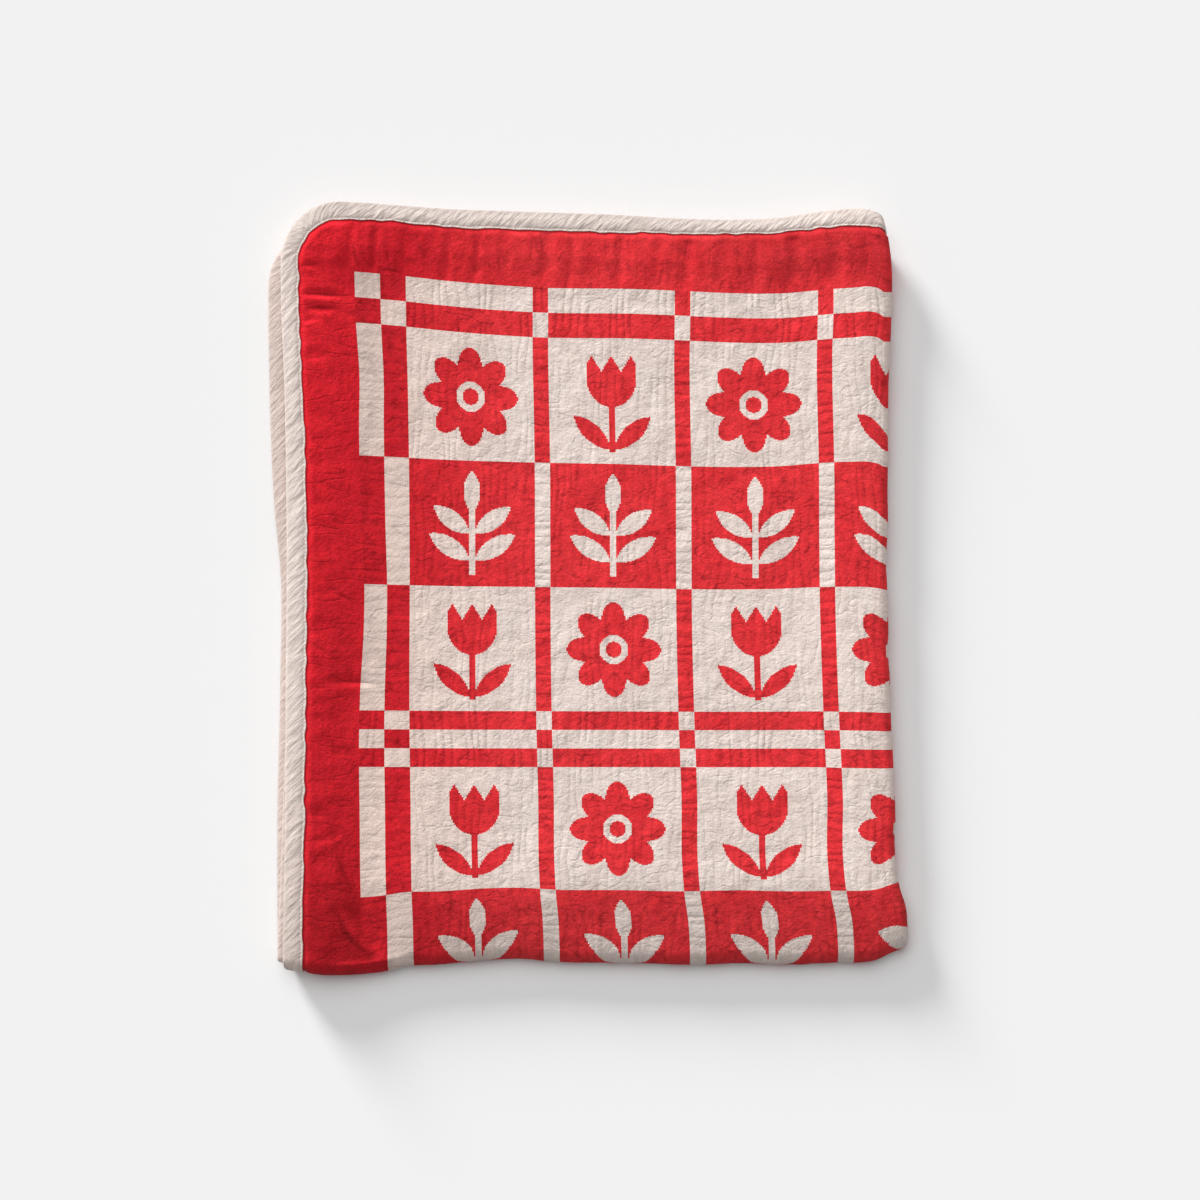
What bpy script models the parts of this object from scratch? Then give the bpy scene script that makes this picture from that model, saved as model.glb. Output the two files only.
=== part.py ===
"""A throw quilt with a bound edge, folded in four and lying flat.

Frame: +Z up, the origin under the middle of the folded stack on the surface that it lies on.
+Y runs along the fold of the first, lengthwise folding, towards the edge that shows on top.

The flat quilt has two coordinates. across runs from the lengthwise fold, negative on the outer
half, which shows on top and underneath, and positive on the inner half. along runs from the top
edge, round the crosswise fold, to the hidden end. A third, off, stands out from the middle of the
cloth towards its face.
"""

import math

import bmesh
import bpy
import numpy as np

# The flat quilt, in metres
WIDTH = 1.270
LENGTH = 1.524
CORNER_RADIUS = 0.058
CLOTH = 0.003

# The binding
BINDING_WIDTH = 0.020
BINDING_WALL = 0.001
BINDING_CLEAR = 0.0006
BINDING_REACH = 0.0023

# The folds: half the spacing of the two layers of a pair, and of the two pairs
PAIR_FLAT = 0.0036
PAIR_PLUMP = 0.0044
STACK_FLAT = 0.0036
STACK_PLUMP = 0.0040
PLUMP_SPAN = 0.095
BEND_REACH = 0.015
CROSS_FOLD = 0.7737

# Where the stack lies
TOP_EDGE = 0.3875
EDGE_LIFT = 0.0020
EDGE_LIFT_SPAN = 0.050
TOP_DROOP = 0.0020
TOP_DROOP_SPAN = 0.060
HIDDEN_END = 2 * CROSS_FOLD - LENGTH
INNER_CREEP = 0.0015
CREEP_ACROSS = 0.100
CREEP_ALONG = 0.300
MIDDLE_X = 0.0004
MIDDLE_Y = 0.0003

# The pile of bound edges stands high at the left and top, and the pile thins towards its folds
LEFT_RIM = -0.283
TOP_RIM = 0.368
RIM_SPAN = 0.075
LEFT_RISE = 0.18
TOP_RISE = 0.10
RIGHT_THIN = 0.19
RIGHT_SPAN = 0.050
BOTTOM_THIN = 0.32
BOTTOM_SPAN = 0.095
BOTTOM_REACH = 0.012
RIM_HOLD = 0.60

# Grid steps
LOOP_STEPS = 4
PLUMP_STEPS = 4
CORNER_STEPS = 5
BEND_STEPS = 8
LONG_STEP = 0.062

HALF = WIDTH / 2

# The right-hand fold's outermost line: height along Y, and how far out it lies along X
RIGHT_FOLD = {
    "y": (
        -0.400, -0.368, -0.341, -0.320, -0.279, -0.217, -0.135, -0.012,
        0.050, 0.112, 0.235, 0.297, 0.343, 0.375, 0.395,
    ),
    "x": (
        0.331, 0.330, 0.327, 0.322, 0.317, 0.317, 0.313, 0.309,
        0.309, 0.310, 0.311, 0.314, 0.313, 0.307, 0.303,
    ),
}

# The open left-hand edges: how far along the quilt, then the outer half's edge and the inner half's
LEFT_EDGE = {
    "along": (0, 0.080, 0.200, 0.340, 0.500, 0.640, 0.776, 0.920, 1.060, 1.180, 1.230, 1.360, 1.524),
    "outer": (
        -0.314, -0.315, -0.311, -0.309, -0.310, -0.311, -0.313, -0.308,
        -0.306, -0.307, -0.307, -0.309, -0.310,
    ),
    "inner": (
        -0.314, -0.313, -0.309, -0.307, -0.310, -0.315, -0.320, -0.321,
        -0.318, -0.318, -0.323, -0.329, -0.330,
    ),
}

# How far the top edge rises above its middle height, from left to right
TOP_WAVE = {
    "x": (
        -0.320, -0.234, -0.192, -0.151, -0.069, 0.034, 0.096,
        0.157, 0.199, 0.240, 0.271, 0.293, 0.302, 0.306,
    ),
    "rise": (
        0.0092, 0.0092, 0.0062, 0.0031, 0.0000, -0.0036, -0.0072,
        -0.0082, -0.0062, 0.0000, 0.0031, 0.0021, -0.0021, -0.0060,
    ),
}

# How far the bottom fold hangs below its middle line, from left to right
BOTTOM_WAVE = {
    "x": (
        -0.320, -0.300, -0.270, -0.234, -0.208, -0.190, -0.151, -0.100, -0.070, -0.028,
        0.034, 0.096, 0.157, 0.219, 0.260, 0.285, 0.301, 0.312, 0.322, 0.330,
    ),
    "fall": (
        0.0040, 0.0055, 0.0105, 0.0100, 0.0065, 0.0020, 0.0000, -0.0050, -0.0058, -0.0025,
        -0.0020, 0.0000, -0.0015, 0.0000, -0.0020, -0.0030, -0.0062, -0.0120, -0.0165, -0.0195,
    ),
}
WAVE_FADE = 0.620
FALL_FADE = 0.160

# Broad hollows pressed in the top layer: centre, half-lengths along X and Y, and depth
HOLLOWS = {
    "x": (0.241, -0.010, -0.252, -0.240, -0.262),
    "y": (0.337, 0.345, -0.100, -0.345, 0.300),
    "half_x": (0.045, 0.090, 0.050, 0.040, 0.045),
    "half_y": (0.040, 0.035, 0.040, 0.060, 0.050),
    "depth": (0.0022, 0.0012, 0.0014, 0.0018, 0.0012),
}
HOLLOW_MARGIN = 0.035


def curve_through(value, places, heights):
    """A smooth curve through a short table: cubic pieces, whose slopes are the mean of the chords'."""
    places = np.asarray(places)
    heights = np.asarray(heights)
    slopes = np.gradient(heights, places)
    left = np.clip(np.searchsorted(places, value) - 1, 0, len(places) - 2)
    span = places[left + 1] - places[left]
    f = np.clip((value - places[left]) / span, 0, 1)
    start = (1 + 2 * f) * (1 - f) ** 2 * heights[left] + f * (1 - f) ** 2 * span * slopes[left]
    end = f**2 * (3 - 2 * f) * heights[left + 1] - f**2 * (1 - f) * span * slopes[left + 1]
    return start + end


def eased(value):
    """0 below 0, 1 above 1, and a smooth step between."""
    value = np.clip(value, 0, 1)
    return value * value * (3 - 2 * value)


def near(distance, span):
    """1 across the binding, then falling as a parabola to 0 at span beyond it."""
    return np.clip(1 - (distance - BINDING_WIDTH) / span, 0, 1) ** 2


def relief(x, y, inset):
    """The broad hollows of the top layer, which fade out before the binding."""
    drop = 0 * x
    for middle_x, middle_y, half_x, half_y, depth in zip(*HOLLOWS.values()):
        drop -= depth * np.exp(-(((x - middle_x) / half_x) ** 2) - ((y - middle_y) / half_y) ** 2)
    return drop * eased(inset / HOLLOW_MARGIN - 1)


def pile_share(x, y, from_right, from_bottom):
    """How high the pile stands at a place, against its height in the middle: more along the bound
    edges, and less by a parabola towards each fold."""
    left = 1 - eased((x - LEFT_RIM) / RIM_SPAN)
    top = 1 - eased((TOP_RIM - y) / RIM_SPAN)
    right = RIGHT_THIN * np.clip(1 - from_right / RIGHT_SPAN, 0, 1) ** 2
    bottom = BOTTOM_THIN * np.clip(1 - from_bottom / BOTTOM_SPAN, 0, 1) ** 2
    thin = (right**3 + bottom**3) ** (1 / 3)
    return 1 + LEFT_RISE * left + TOP_RISE * top - thin * (1 - RIM_HOLD * np.maximum(left, top))


def folded(across, along, off):
    """Carries a point of the flat quilt to its place in the folded stack.

    Lengthwise: a half circle of radius PAIR_PLUMP joins two layers. Crosswise: the pair then goes
    half round a circle whose radius is the pair's own half spacing plus half the gap between pairs.
    The tables then draw the stack's outline, pile_share raises or thins the whole pile, and the
    hollows sink the top layer.
    """
    outer = across < 0
    reach = np.abs(across)
    loop = PAIR_PLUMP * math.pi / 2
    turn = np.clip(across / PAIR_PLUMP, -math.pi / 2, math.pi / 2)
    beyond = np.clip(reach - loop, 0, None)

    plump_across = 1 - eased(beyond / PLUMP_SPAN)
    pair = PAIR_FLAT + (PAIR_PLUMP - PAIR_FLAT) * plump_across
    middle = np.where(beyond > 0, np.sign(-across) * pair, -PAIR_PLUMP * np.sin(turn))
    height = middle - off * np.sin(turn)

    from_fold = np.abs(along - CROSS_FOLD)
    plump_along = 1 - eased((from_fold - BEND_REACH) / PLUMP_SPAN)
    plump = plump_across + plump_along - plump_across * plump_along
    radius = pair + STACK_FLAT + (STACK_PLUMP - STACK_FLAT) * plump
    bend_radius = pair + STACK_PLUMP
    angle = np.clip((along - CROSS_FOLD) / bend_radius + math.pi / 2, 0, math.pi)
    straight = np.clip(from_fold - bend_radius * math.pi / 2, 0, None)

    fold_line = TOP_EDGE - BINDING_REACH - CROSS_FOLD + (PAIR_PLUMP + STACK_PLUMP) * math.pi / 2
    y = fold_line + straight - (bend_radius + height) * np.sin(angle)

    creep = INNER_CREEP * eased(across / CREEP_ACROSS) * np.clip(1 - along / CREEP_ALONG, 0, 1)
    y = y - creep

    fold_x = curve_through(y, RIGHT_FOLD["y"], RIGHT_FOLD["x"]) - PAIR_PLUMP - CLOTH / 2
    outer_edge = curve_through(along, LEFT_EDGE["along"], LEFT_EDGE["outer"])
    inner_edge = curve_through(along, LEFT_EDGE["along"], LEFT_EDGE["inner"])
    edge_x = np.where(outer, outer_edge, inner_edge) + BINDING_REACH + BINDING_WALL / 2
    middle_x = fold_x + (edge_x - fold_x) * beyond / (HALF - loop) + PAIR_PLUMP * np.cos(turn)
    x = middle_x + off * np.cos(turn)
    share = pile_share(x, y, fold_x + PAIR_PLUMP + CLOTH / 2 - x, y - fold_line + BOTTOM_REACH)

    wave = curve_through(middle_x, TOP_WAVE["x"], TOP_WAVE["rise"])
    fall = curve_through(middle_x, BOTTOM_WAVE["x"], BOTTOM_WAVE["fall"])
    wave_share = 1 - eased((TOP_EDGE - y) / WAVE_FADE)
    fall_share = 1 - eased((y - fold_line) / FALL_FADE)
    y = y + wave * wave_share - fall * fall_share

    upper = along < CROSS_FOLD
    from_end = np.where(upper, along - HIDDEN_END, LENGTH - along)
    lift = np.maximum(near(HALF - reach, EDGE_LIFT_SPAN), near(from_end, EDGE_LIFT_SPAN))
    droop = np.clip(1 - along / TOP_DROOP_SPAN, 0, 1) ** 2 * upper
    z = radius + pair + (radius + middle) * np.cos(angle) + EDGE_LIFT * lift - TOP_DROOP * droop
    z = z * share + CLOTH / 2 + (height - middle) * np.cos(angle)
    inset = np.minimum(HALF - reach, along)
    z = z + relief(x, y, inset) * (outer & upper & (angle == 0))
    return np.stack([x - MIDDLE_X, y - MIDDLE_Y, z], axis=-1)


def steps(start, end, count):
    """Evenly spaced places after start, up to and with end."""
    return list(np.linspace(start, end, count + 1)[1:])


def corner_stations():
    """Distances from an edge whose rows meet a rounded corner at even angles."""
    return [CORNER_RADIUS * (1 - math.cos(math.pi / 2 * k / CORNER_STEPS)) for k in range(CORNER_STEPS + 1)]


def across_stations():
    """Grid columns from the outer half's edge, round the lengthwise fold, to the inner half's."""
    loop = PAIR_PLUMP * math.pi / 2
    half = [0.0]
    half += steps(0, loop, LOOP_STEPS)
    half += steps(loop, loop + PLUMP_SPAN, PLUMP_STEPS)
    inner_end = HALF - 2 * CORNER_RADIUS
    half += steps(half[-1], inner_end, round((inner_end - half[-1]) / LONG_STEP))
    half += [HALF - 0.090, HALF - 0.068, HALF - 0.044, HALF - BINDING_WIDTH, HALF]
    half = np.array(half)
    return np.concatenate([-half[:0:-1], half])


def along_stations():
    """Grid rows from the top edge, round the crosswise fold, to the hidden end."""
    bend = (PAIR_PLUMP + STACK_PLUMP) * math.pi / 2
    rows = corner_stations()
    upper_end = CROSS_FOLD - bend
    plump_start = upper_end - PLUMP_SPAN
    rows += steps(rows[-1], plump_start, round((plump_start - rows[-1]) / LONG_STEP))
    rows += steps(plump_start, upper_end, PLUMP_STEPS)
    rows += steps(upper_end, upper_end + 2 * bend, BEND_STEPS)
    plump_end = upper_end + 2 * bend + PLUMP_SPAN
    rows += steps(upper_end + 2 * bend, plump_end, PLUMP_STEPS)
    corner_start = LENGTH - CORNER_RADIUS
    rows += steps(plump_end, corner_start, round((corner_start - plump_end) / LONG_STEP))
    rows += [LENGTH - d for d in corner_stations()[-2::-1]]
    return np.array(rows)


def trimmed(across, along):
    """Draws the outer columns in where a row crosses a rounded corner."""
    depth = np.minimum(along, LENGTH - along)
    short = np.clip(CORNER_RADIUS - depth, 0, None)
    limit = HALF - CORNER_RADIUS + np.sqrt(CORNER_RADIUS**2 - short**2)
    start = HALF - 2 * CORNER_RADIUS
    reach = np.abs(across)
    drawn = start + (reach - start) * (limit - start) / (HALF - start)
    return np.sign(across) * np.where(reach > start, drawn, reach)


def grid_object(name, columns, rows, place):
    """A grid whose vertex in each column and row goes where place puts it."""
    bm = bmesh.new()
    bmesh.ops.create_grid(bm, x_segments=columns - 1, y_segments=rows - 1, size=1)
    mesh = bpy.data.meshes.new(name)
    bm.to_mesh(mesh)
    bm.free()
    flat = np.empty(len(mesh.vertices) * 3)
    mesh.vertices.foreach_get("co", flat)
    flat = flat.reshape(-1, 3)
    column = np.rint((flat[:, 0] + 1) / 2 * (columns - 1)).astype(int)
    row = np.rint((flat[:, 1] + 1) / 2 * (rows - 1)).astype(int)
    mesh.vertices.foreach_set("co", place(column, row).ravel())
    mesh.update()
    ob = bpy.data.objects.new(name, mesh)
    collection.objects.link(ob)
    return ob


def thicken(ob, thickness):
    """Gives the sheet its thickness, half on each side."""
    solid = ob.modifiers.new("Thickness", "SOLIDIFY")
    solid.thickness = thickness
    solid.offset = 0
    solid.use_even_offset = True
    ob.data.shade_smooth()


def material(name, colour, roughness):
    """A plain woven fabric."""
    fabric = bpy.data.materials.new(name)
    fabric.use_nodes = True
    shader = fabric.node_tree.nodes["Principled BSDF"]
    shader.inputs["Base Color"].default_value = (*colour, 1)
    shader.inputs["Roughness"].default_value = roughness
    shader.inputs["Metallic"].default_value = 0
    return fabric


def quilt_cloth():
    """The quilted cloth: one sheet, folded lengthwise and then crosswise."""
    columns = across_stations()
    rows = along_stations()

    def place(column, row):
        along = rows[row]
        return folded(trimmed(columns[column], along), along, 0.0)

    ob = grid_object("quilt_cloth", len(columns), len(rows), place)
    thicken(ob, CLOTH)
    ob.data.materials.append(material("quilt_cloth", (0.65, 0.03, 0.035), 0.9))


def rim_stations():
    """The cloth's rim in order, with the inward direction at each place."""
    columns = across_stations()
    rows = along_stations()
    last = len(rows) - 1
    right = len(columns) - 1
    order = [(c, 0) for c in range(right)] + [(right, r) for r in range(last)]
    order += [(c, last) for c in range(right, 0, -1)] + [(0, r) for r in range(last, 0, -1)]
    column, row = np.array(order).T
    along = rows[row]
    across = trimmed(columns[column], along)
    middle = HALF - CORNER_RADIUS
    centre_across = np.clip(across, -middle, middle)
    centre_along = np.clip(along, CORNER_RADIUS, LENGTH - CORNER_RADIUS)
    inward = np.stack([centre_across - across, centre_along - along], axis=-1)
    inward /= np.linalg.norm(inward, axis=1, keepdims=True)
    return across, along, inward


def edge_binding():
    """The binding: a strip folded over the cloth's rim, all the way round."""
    across, along, inward = rim_stations()
    face = CLOTH / 2 + BINDING_CLEAR + BINDING_WALL / 2
    depth = np.array([BINDING_WIDTH, 0, -BINDING_REACH, -BINDING_REACH, 0, BINDING_WIDTH])
    off = face * np.array([1, 1, 0.55, -0.55, -1, -1])
    count = len(across)

    def place(column, row):
        station = column % count
        a = across[station] + inward[station, 0] * depth[row]
        b = along[station] + inward[station, 1] * depth[row]
        return folded(a, b, off[row])

    ob = grid_object("edge_binding", count + 1, len(depth), place)
    bm = bmesh.new()
    bm.from_mesh(ob.data)
    bmesh.ops.remove_doubles(bm, verts=bm.verts, dist=1e-6)
    bmesh.ops.recalc_face_normals(bm, faces=bm.faces)
    bm.to_mesh(ob.data)
    bm.free()
    thicken(ob, BINDING_WALL)
    ob.data.materials.append(material("edge_binding", (0.80, 0.73, 0.66), 0.85))


for old in list(bpy.data.objects):
    bpy.data.objects.remove(old, do_unlink=True)

collection = bpy.data.collections.new("folded_quilt")
bpy.context.scene.collection.children.link(collection)
quilt_cloth()
edge_binding()
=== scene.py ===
"""A red and cream throw quilt with a bound edge, folded in four, as seen from straight above.

Three pieces: the quilted cloth, its edge binding and the stitching that holds the binding down.
Each is a surface worked out from the flat quilt and carried to its place by folded().

The flat quilt has two coordinates, in metres. across runs from the lengthwise fold, negative on
the outer half, which shows on top. along runs from the top edge, round the crosswise fold, to the
hidden end. A third, off, stands out from the middle of the cloth towards its face.
"""

import math

import bpy
import numpy as np
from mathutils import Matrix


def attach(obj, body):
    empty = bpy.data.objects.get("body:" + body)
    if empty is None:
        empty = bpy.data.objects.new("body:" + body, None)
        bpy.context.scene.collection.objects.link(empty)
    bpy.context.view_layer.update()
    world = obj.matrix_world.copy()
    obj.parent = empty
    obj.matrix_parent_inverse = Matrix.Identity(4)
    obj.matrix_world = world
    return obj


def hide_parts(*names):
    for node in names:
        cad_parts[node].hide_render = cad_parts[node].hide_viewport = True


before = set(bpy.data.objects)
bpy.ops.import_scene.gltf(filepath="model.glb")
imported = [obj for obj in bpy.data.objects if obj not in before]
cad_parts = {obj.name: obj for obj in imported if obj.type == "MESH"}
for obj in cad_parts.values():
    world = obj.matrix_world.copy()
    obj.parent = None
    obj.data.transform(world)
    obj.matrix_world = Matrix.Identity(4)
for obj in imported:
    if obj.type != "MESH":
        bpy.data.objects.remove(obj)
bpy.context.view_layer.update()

# The flat quilt and its folds, as in the frame
WIDTH = 1.270
LENGTH = 1.524
HALF = WIDTH / 2
CORNER_RADIUS = 0.058
CLOTH = 0.003
BINDING_WIDTH = 0.020
BINDING_WALL = 0.001
BINDING_REACH = 0.0023
PAIR_FLAT = 0.0036
PAIR_PLUMP = 0.0044
STACK_FLAT = 0.0036
STACK_PLUMP = 0.0040
PLUMP_SPAN = 0.095
BEND_REACH = 0.015
CROSS_FOLD = 0.7737
TOP_EDGE = 0.3875
EDGE_LIFT = 0.0020
EDGE_LIFT_SPAN = 0.050
TOP_DROOP = 0.0020
TOP_DROOP_SPAN = 0.060
HIDDEN_END = 2 * CROSS_FOLD - LENGTH
INNER_CREEP = 0.0015
CREEP_ACROSS = 0.100
CREEP_ALONG = 0.300
MIDDLE_X = 0.0004
MIDDLE_Y = 0.0003

# Half the cloth's way round the lengthwise fold, and half its way round the crosswise one
LOOP = PAIR_PLUMP * math.pi / 2
BEND = (PAIR_PLUMP + STACK_PLUMP) * math.pi / 2

# The pile of bound edges stands high at the left and top, and the pile thins towards its folds
LEFT_RIM = -0.283
TOP_RIM = 0.368
RIM_SPAN = 0.075
LEFT_RISE = 0.18
TOP_RISE = 0.10
RIGHT_THIN = 0.19
RIGHT_SPAN = 0.050
BOTTOM_THIN = 0.32
BOTTOM_SPAN = 0.095
BOTTOM_REACH = 0.012
RIM_HOLD = 0.60

# The right-hand fold's outermost line: height along Y, and how far out it lies along X
RIGHT_FOLD = {
    "y": (
        -0.400, -0.368, -0.341, -0.320, -0.279, -0.217, -0.135, -0.012,
        0.050, 0.112, 0.235, 0.297, 0.343, 0.375, 0.395,
    ),
    "x": (
        0.331, 0.330, 0.327, 0.322, 0.317, 0.317, 0.313, 0.309,
        0.309, 0.310, 0.311, 0.314, 0.313, 0.307, 0.303,
    ),
}

# The open left-hand edges: how far along the quilt, then the outer half's edge and the inner half's
LEFT_EDGE = {
    "along": (0, 0.080, 0.200, 0.340, 0.500, 0.640, 0.776,
              0.920, 1.060, 1.180, 1.230, 1.360, 1.524),
    "outer": (
        -0.314, -0.315, -0.311, -0.309, -0.310, -0.311, -0.313, -0.308,
        -0.306, -0.307, -0.307, -0.309, -0.310,
    ),
    "inner": (
        -0.314, -0.313, -0.309, -0.307, -0.310, -0.315, -0.320, -0.321,
        -0.318, -0.318, -0.323, -0.329, -0.330,
    ),
}

# How far the top edge rises above its middle height, from left to right
TOP_WAVE = {
    "x": (
        -0.320, -0.234, -0.192, -0.151, -0.069, 0.034, 0.096,
        0.157, 0.199, 0.240, 0.271, 0.293, 0.302, 0.306,
    ),
    "rise": (
        0.0092, 0.0092, 0.0062, 0.0031, 0.0000, -0.0036, -0.0072,
        -0.0082, -0.0062, 0.0000, 0.0031, 0.0021, -0.0021, -0.0060,
    ),
}

# How far the bottom fold hangs below its middle line, from left to right
BOTTOM_WAVE = {
    "x": (
        -0.320, -0.300, -0.270, -0.234, -0.208, -0.190, -0.151, -0.100, -0.070, -0.028,
        0.034, 0.096, 0.157, 0.219, 0.260, 0.285, 0.301, 0.312, 0.322, 0.330,
    ),
    "fall": (
        0.0040, 0.0055, 0.0105, 0.0100, 0.0065, 0.0020, 0.0000, -0.0050, -0.0058, -0.0025,
        -0.0020, 0.0000, -0.0015, 0.0000, -0.0020, -0.0030, -0.0062, -0.0120, -0.0165, -0.0195,
    ),
}
WAVE_FADE = 0.620
FALL_FADE = 0.160

# Broad hollows pressed in the top layer: centre, half-lengths along X and Y, and depth
# The last is the long trough inside the left bound edge
HOLLOWS = {
    "x": (0.241, -0.010, -0.252, -0.240, -0.262, -0.226),
    "y": (0.337, 0.345, -0.100, -0.345, 0.300, 0.020),
    "half_x": (0.045, 0.090, 0.050, 0.040, 0.045, 0.036),
    "half_y": (0.040, 0.035, 0.040, 0.060, 0.050, 0.260),
    "depth": (0.0022, 0.0012, 0.0014, 0.0018, 0.0012, 0.0014),
}
HOLLOW_MARGIN = 0.035

# Creases in the top layer, in metres from the frame's origin: ends, half-width, depth and bow.
# The ridge beside a crease is lower, wider and set off by a multiple of the half-width
CREASE_GAIN = 1.3
RIDGE_SHARE = 0.45
RIDGE_OFFSET = 2.2
RIDGE_WIDTH = 1.5
MARK_LIMIT = 0.0022
CREASES = {
    "x0": (-0.298, -0.290, -0.298, -0.292, -0.297, -0.277,
           -0.264, -0.288, -0.290, -0.260, -0.257, -0.273),
    "y0": (0.303, 0.288, 0.271, 0.240, 0.332, -0.096,
           -0.168, -0.232, -0.262, -0.325, -0.272, -0.396),
    "x1": (-0.246, -0.256, -0.272, -0.268, -0.272, -0.217,
           -0.233, -0.265, -0.250, -0.210, -0.222, -0.242),
    "y1": (0.300, 0.288, 0.278, 0.236, 0.329, -0.098,
           -0.170, -0.232, -0.248, -0.386, -0.382, -0.396),
    "half_width": (0.0034, 0.0030, 0.0028, 0.0032, 0.0030, 0.0032,
                   0.0028, 0.0026, 0.0036, 0.0075, 0.0060, 0.0028),
    "depth": (0.0017, 0.0013, 0.0010, 0.0010, 0.0008, 0.0014,
              0.0010, 0.0009, 0.0010, 0.0022, 0.0012, 0.0008),
    "bow": (0.002, -0.001, 0.002, 0.001, 0.002, 0.002, 0.001, 0.001, -0.002, 0.010, 0.006, 0.000),
}

# Soft vertical furrows in the red border below the top binding: place along X, half-width and depth.
# The lengthwise fold lies at FOLD_X
FOLD_X = 0.313
FURROW_GAIN = 1.6
FURROW_SLIM = 0.85
FURROW_LEAN = 0.16
FURROW_START = 0.90 * BINDING_WIDTH
FURROW_END = 0.056
FURROWS = {
    "x": (-0.249, -0.222, -0.190, -0.146, -0.115, -0.085, -0.043, -0.017,
          0.034, 0.074, 0.104, 0.140, 0.176, 0.215, 0.262, 0.290),
    "half_width": (0.007, 0.005, 0.008, 0.007, 0.005, 0.007, 0.009, 0.005,
                   0.007, 0.006, 0.008, 0.008, 0.007, 0.009, 0.010, 0.006),
    "depth": (0.0010, 0.0006, 0.0007, 0.0011, 0.0010, 0.0005, 0.0012, 0.0007,
              0.0010, 0.0005, 0.0011, 0.0006, 0.0007, 0.0009, 0.0011, 0.0006),
}

# Sharp fold lines in the top layer, darkened and lit by its material: ends in the frame, half-width,
# bow to the side and strength
FOLD_LINES = {
    "x0": (-0.296, -0.292, -0.296, -0.293, -0.297, -0.216, -0.264, -0.286, -0.268, -0.265,
           -0.289, -0.262, -0.2585, 0.262, -0.240),
    "y0": (0.304, 0.288, 0.270, 0.238, 0.332, 0.328, 0.004, -0.052, -0.097, -0.169,
           -0.232, -0.322, -0.262, 0.342, 0.356),
    "x1": (-0.245, -0.254, -0.274, -0.264, -0.274, -0.188, -0.234, -0.252, -0.209, -0.231,
           -0.262, -0.209, -0.242, 0.300, -0.234),
    "y1": (0.302, 0.288, 0.274, 0.243, 0.336, 0.324, -0.013, -0.066, -0.100, -0.170,
           -0.232, -0.386, -0.310, 0.352, 0.330),
    "half_width": (0.0015, 0.0014, 0.0013, 0.0014, 0.0013, 0.0013, 0.0024, 0.0016, 0.0014, 0.0014,
                   0.0013, 0.0032, 0.0026, 0.0020, 0.0018),
    "bow": (0.001, -0.001, 0.002, 0.002, 0.001, -0.002, 0.003, 0.004, -0.003, 0.001,
            0.001, 0.009, 0.003, -0.003, 0.002),
    "strength": (1.0, 0.9, 0.7, 0.6, 0.5, 0.8, 0.6, 0.5, 0.7, 0.6,
                 0.6, 0.75, 0.5, 0.5, 0.7),
}

# How much of the binding's width shows: along the top edge by place across, and down the left side
TOP_SHOWN = {
    "across": (-0.577, -0.550, -0.522, -0.493, -0.431, -0.346, -0.285, -0.244,
               -0.203, -0.141, -0.100, -0.049, -0.016, 0.0, 0.016, 0.100),
    "share": (0.95, 0.90, 0.80, 0.86, 0.95, 0.91, 0.92, 0.80,
              0.75, 0.72, 0.79, 0.87, 0.80, 0.66, 0.76, 1.00),
}
SIDE_SHOWN = {
    "along": (0.0, 0.060, 0.130, 0.200, 0.270, 0.350, 0.450, 0.550, 0.640, 0.720, 0.800, 1.000),
    "share": (0.95, 0.93, 0.93, 0.97, 1.02, 1.08, 1.06, 1.04, 1.00, 0.98, 1.00, 1.00),
}

# The two tables meet over this span at the corner. The binding's inner edge wavers by a share of its
# width, and it is even past the place along the quilt where the crosswise fold hides it
CORNER_SPAN = 0.05
UNEVENNESS = 0.065
EVEN_BINDING = 0.9

# The weave's drift from an even count: sideways, and up at the top edge, in metres
DRIFT_DOWN = {
    "along": (0.0, 0.093, 0.235, 0.350, 0.574, 0.716, 0.800, 1.100, 1.524),
    "sideways": (0.0035, 0.0044, 0.0078, 0.0100, 0.0104, 0.0088, 0.0080, 0.0040, 0.0),
    "even": (0.0, -0.0002, -0.0003, -0.0003, 0.0002, 0.0022, 0.0022, 0.0, 0.0),
}
DRIFT_ACROSS = {
    "across": (-0.635, -0.520, -0.365, -0.216, -0.130, -0.070, -0.035,
               -0.010, 0.012, 0.060, 0.250, 0.450, 0.635),
    "share": (0.0, 0.0, 0.24, 0.50, 0.78, 0.98, 1.00, 1.00, 1.00, 1.02, 0.55, 0.0, 0.0),
    "rise": (0.0090, 0.0074, 0.0016, 0.0044, 0.0016, -0.0016, -0.0012,
             0.0028, 0.0046, 0.0040, 0.0010, 0.0, 0.0),
}

# How far the double bars beside the left border wander sideways. That fades out towards the blocks,
# and the rise at the top edge fades out down the quilt
SIDE_DRIFT = {
    "along": (0.0, 0.073, 0.120, 0.172, 0.224, 0.330, 0.385, 0.430, 0.490, 0.640, 0.750, 1.524),
    "sideways": (-0.0024, -0.0023, -0.0014, 0.0006, -0.0010, 0.0006,
                 0.0036, 0.0032, -0.0004, -0.0019, -0.0012, 0.0),
}
SIDE_DRIFT_END = -0.565
SIDE_DRIFT_SPAN = 0.07
RISE_END = 0.10
RISE_SPAN = 0.22

# Relief of the cloth's face: puff beside the binding, gathers at it, puckers and broad swells
PUFF = 0.0019
PUFF_SPAN = 0.0065
PUFF_LOSS = 0.32
INSIDE_BINDING = 0.0001
SIDE_GATHERS = 0.00070
TOP_GATHERS = 0.00085
GATHER_REACH = 0.030
GATHER_SPAN = 0.045
PUCKER_DEPTH = 0.00032
BORDER_PUCKERS = 0.35
SWELL_DEPTH = 0.0005
BORDER_END = 0.077
INNER_CALM = 0.7


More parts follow.
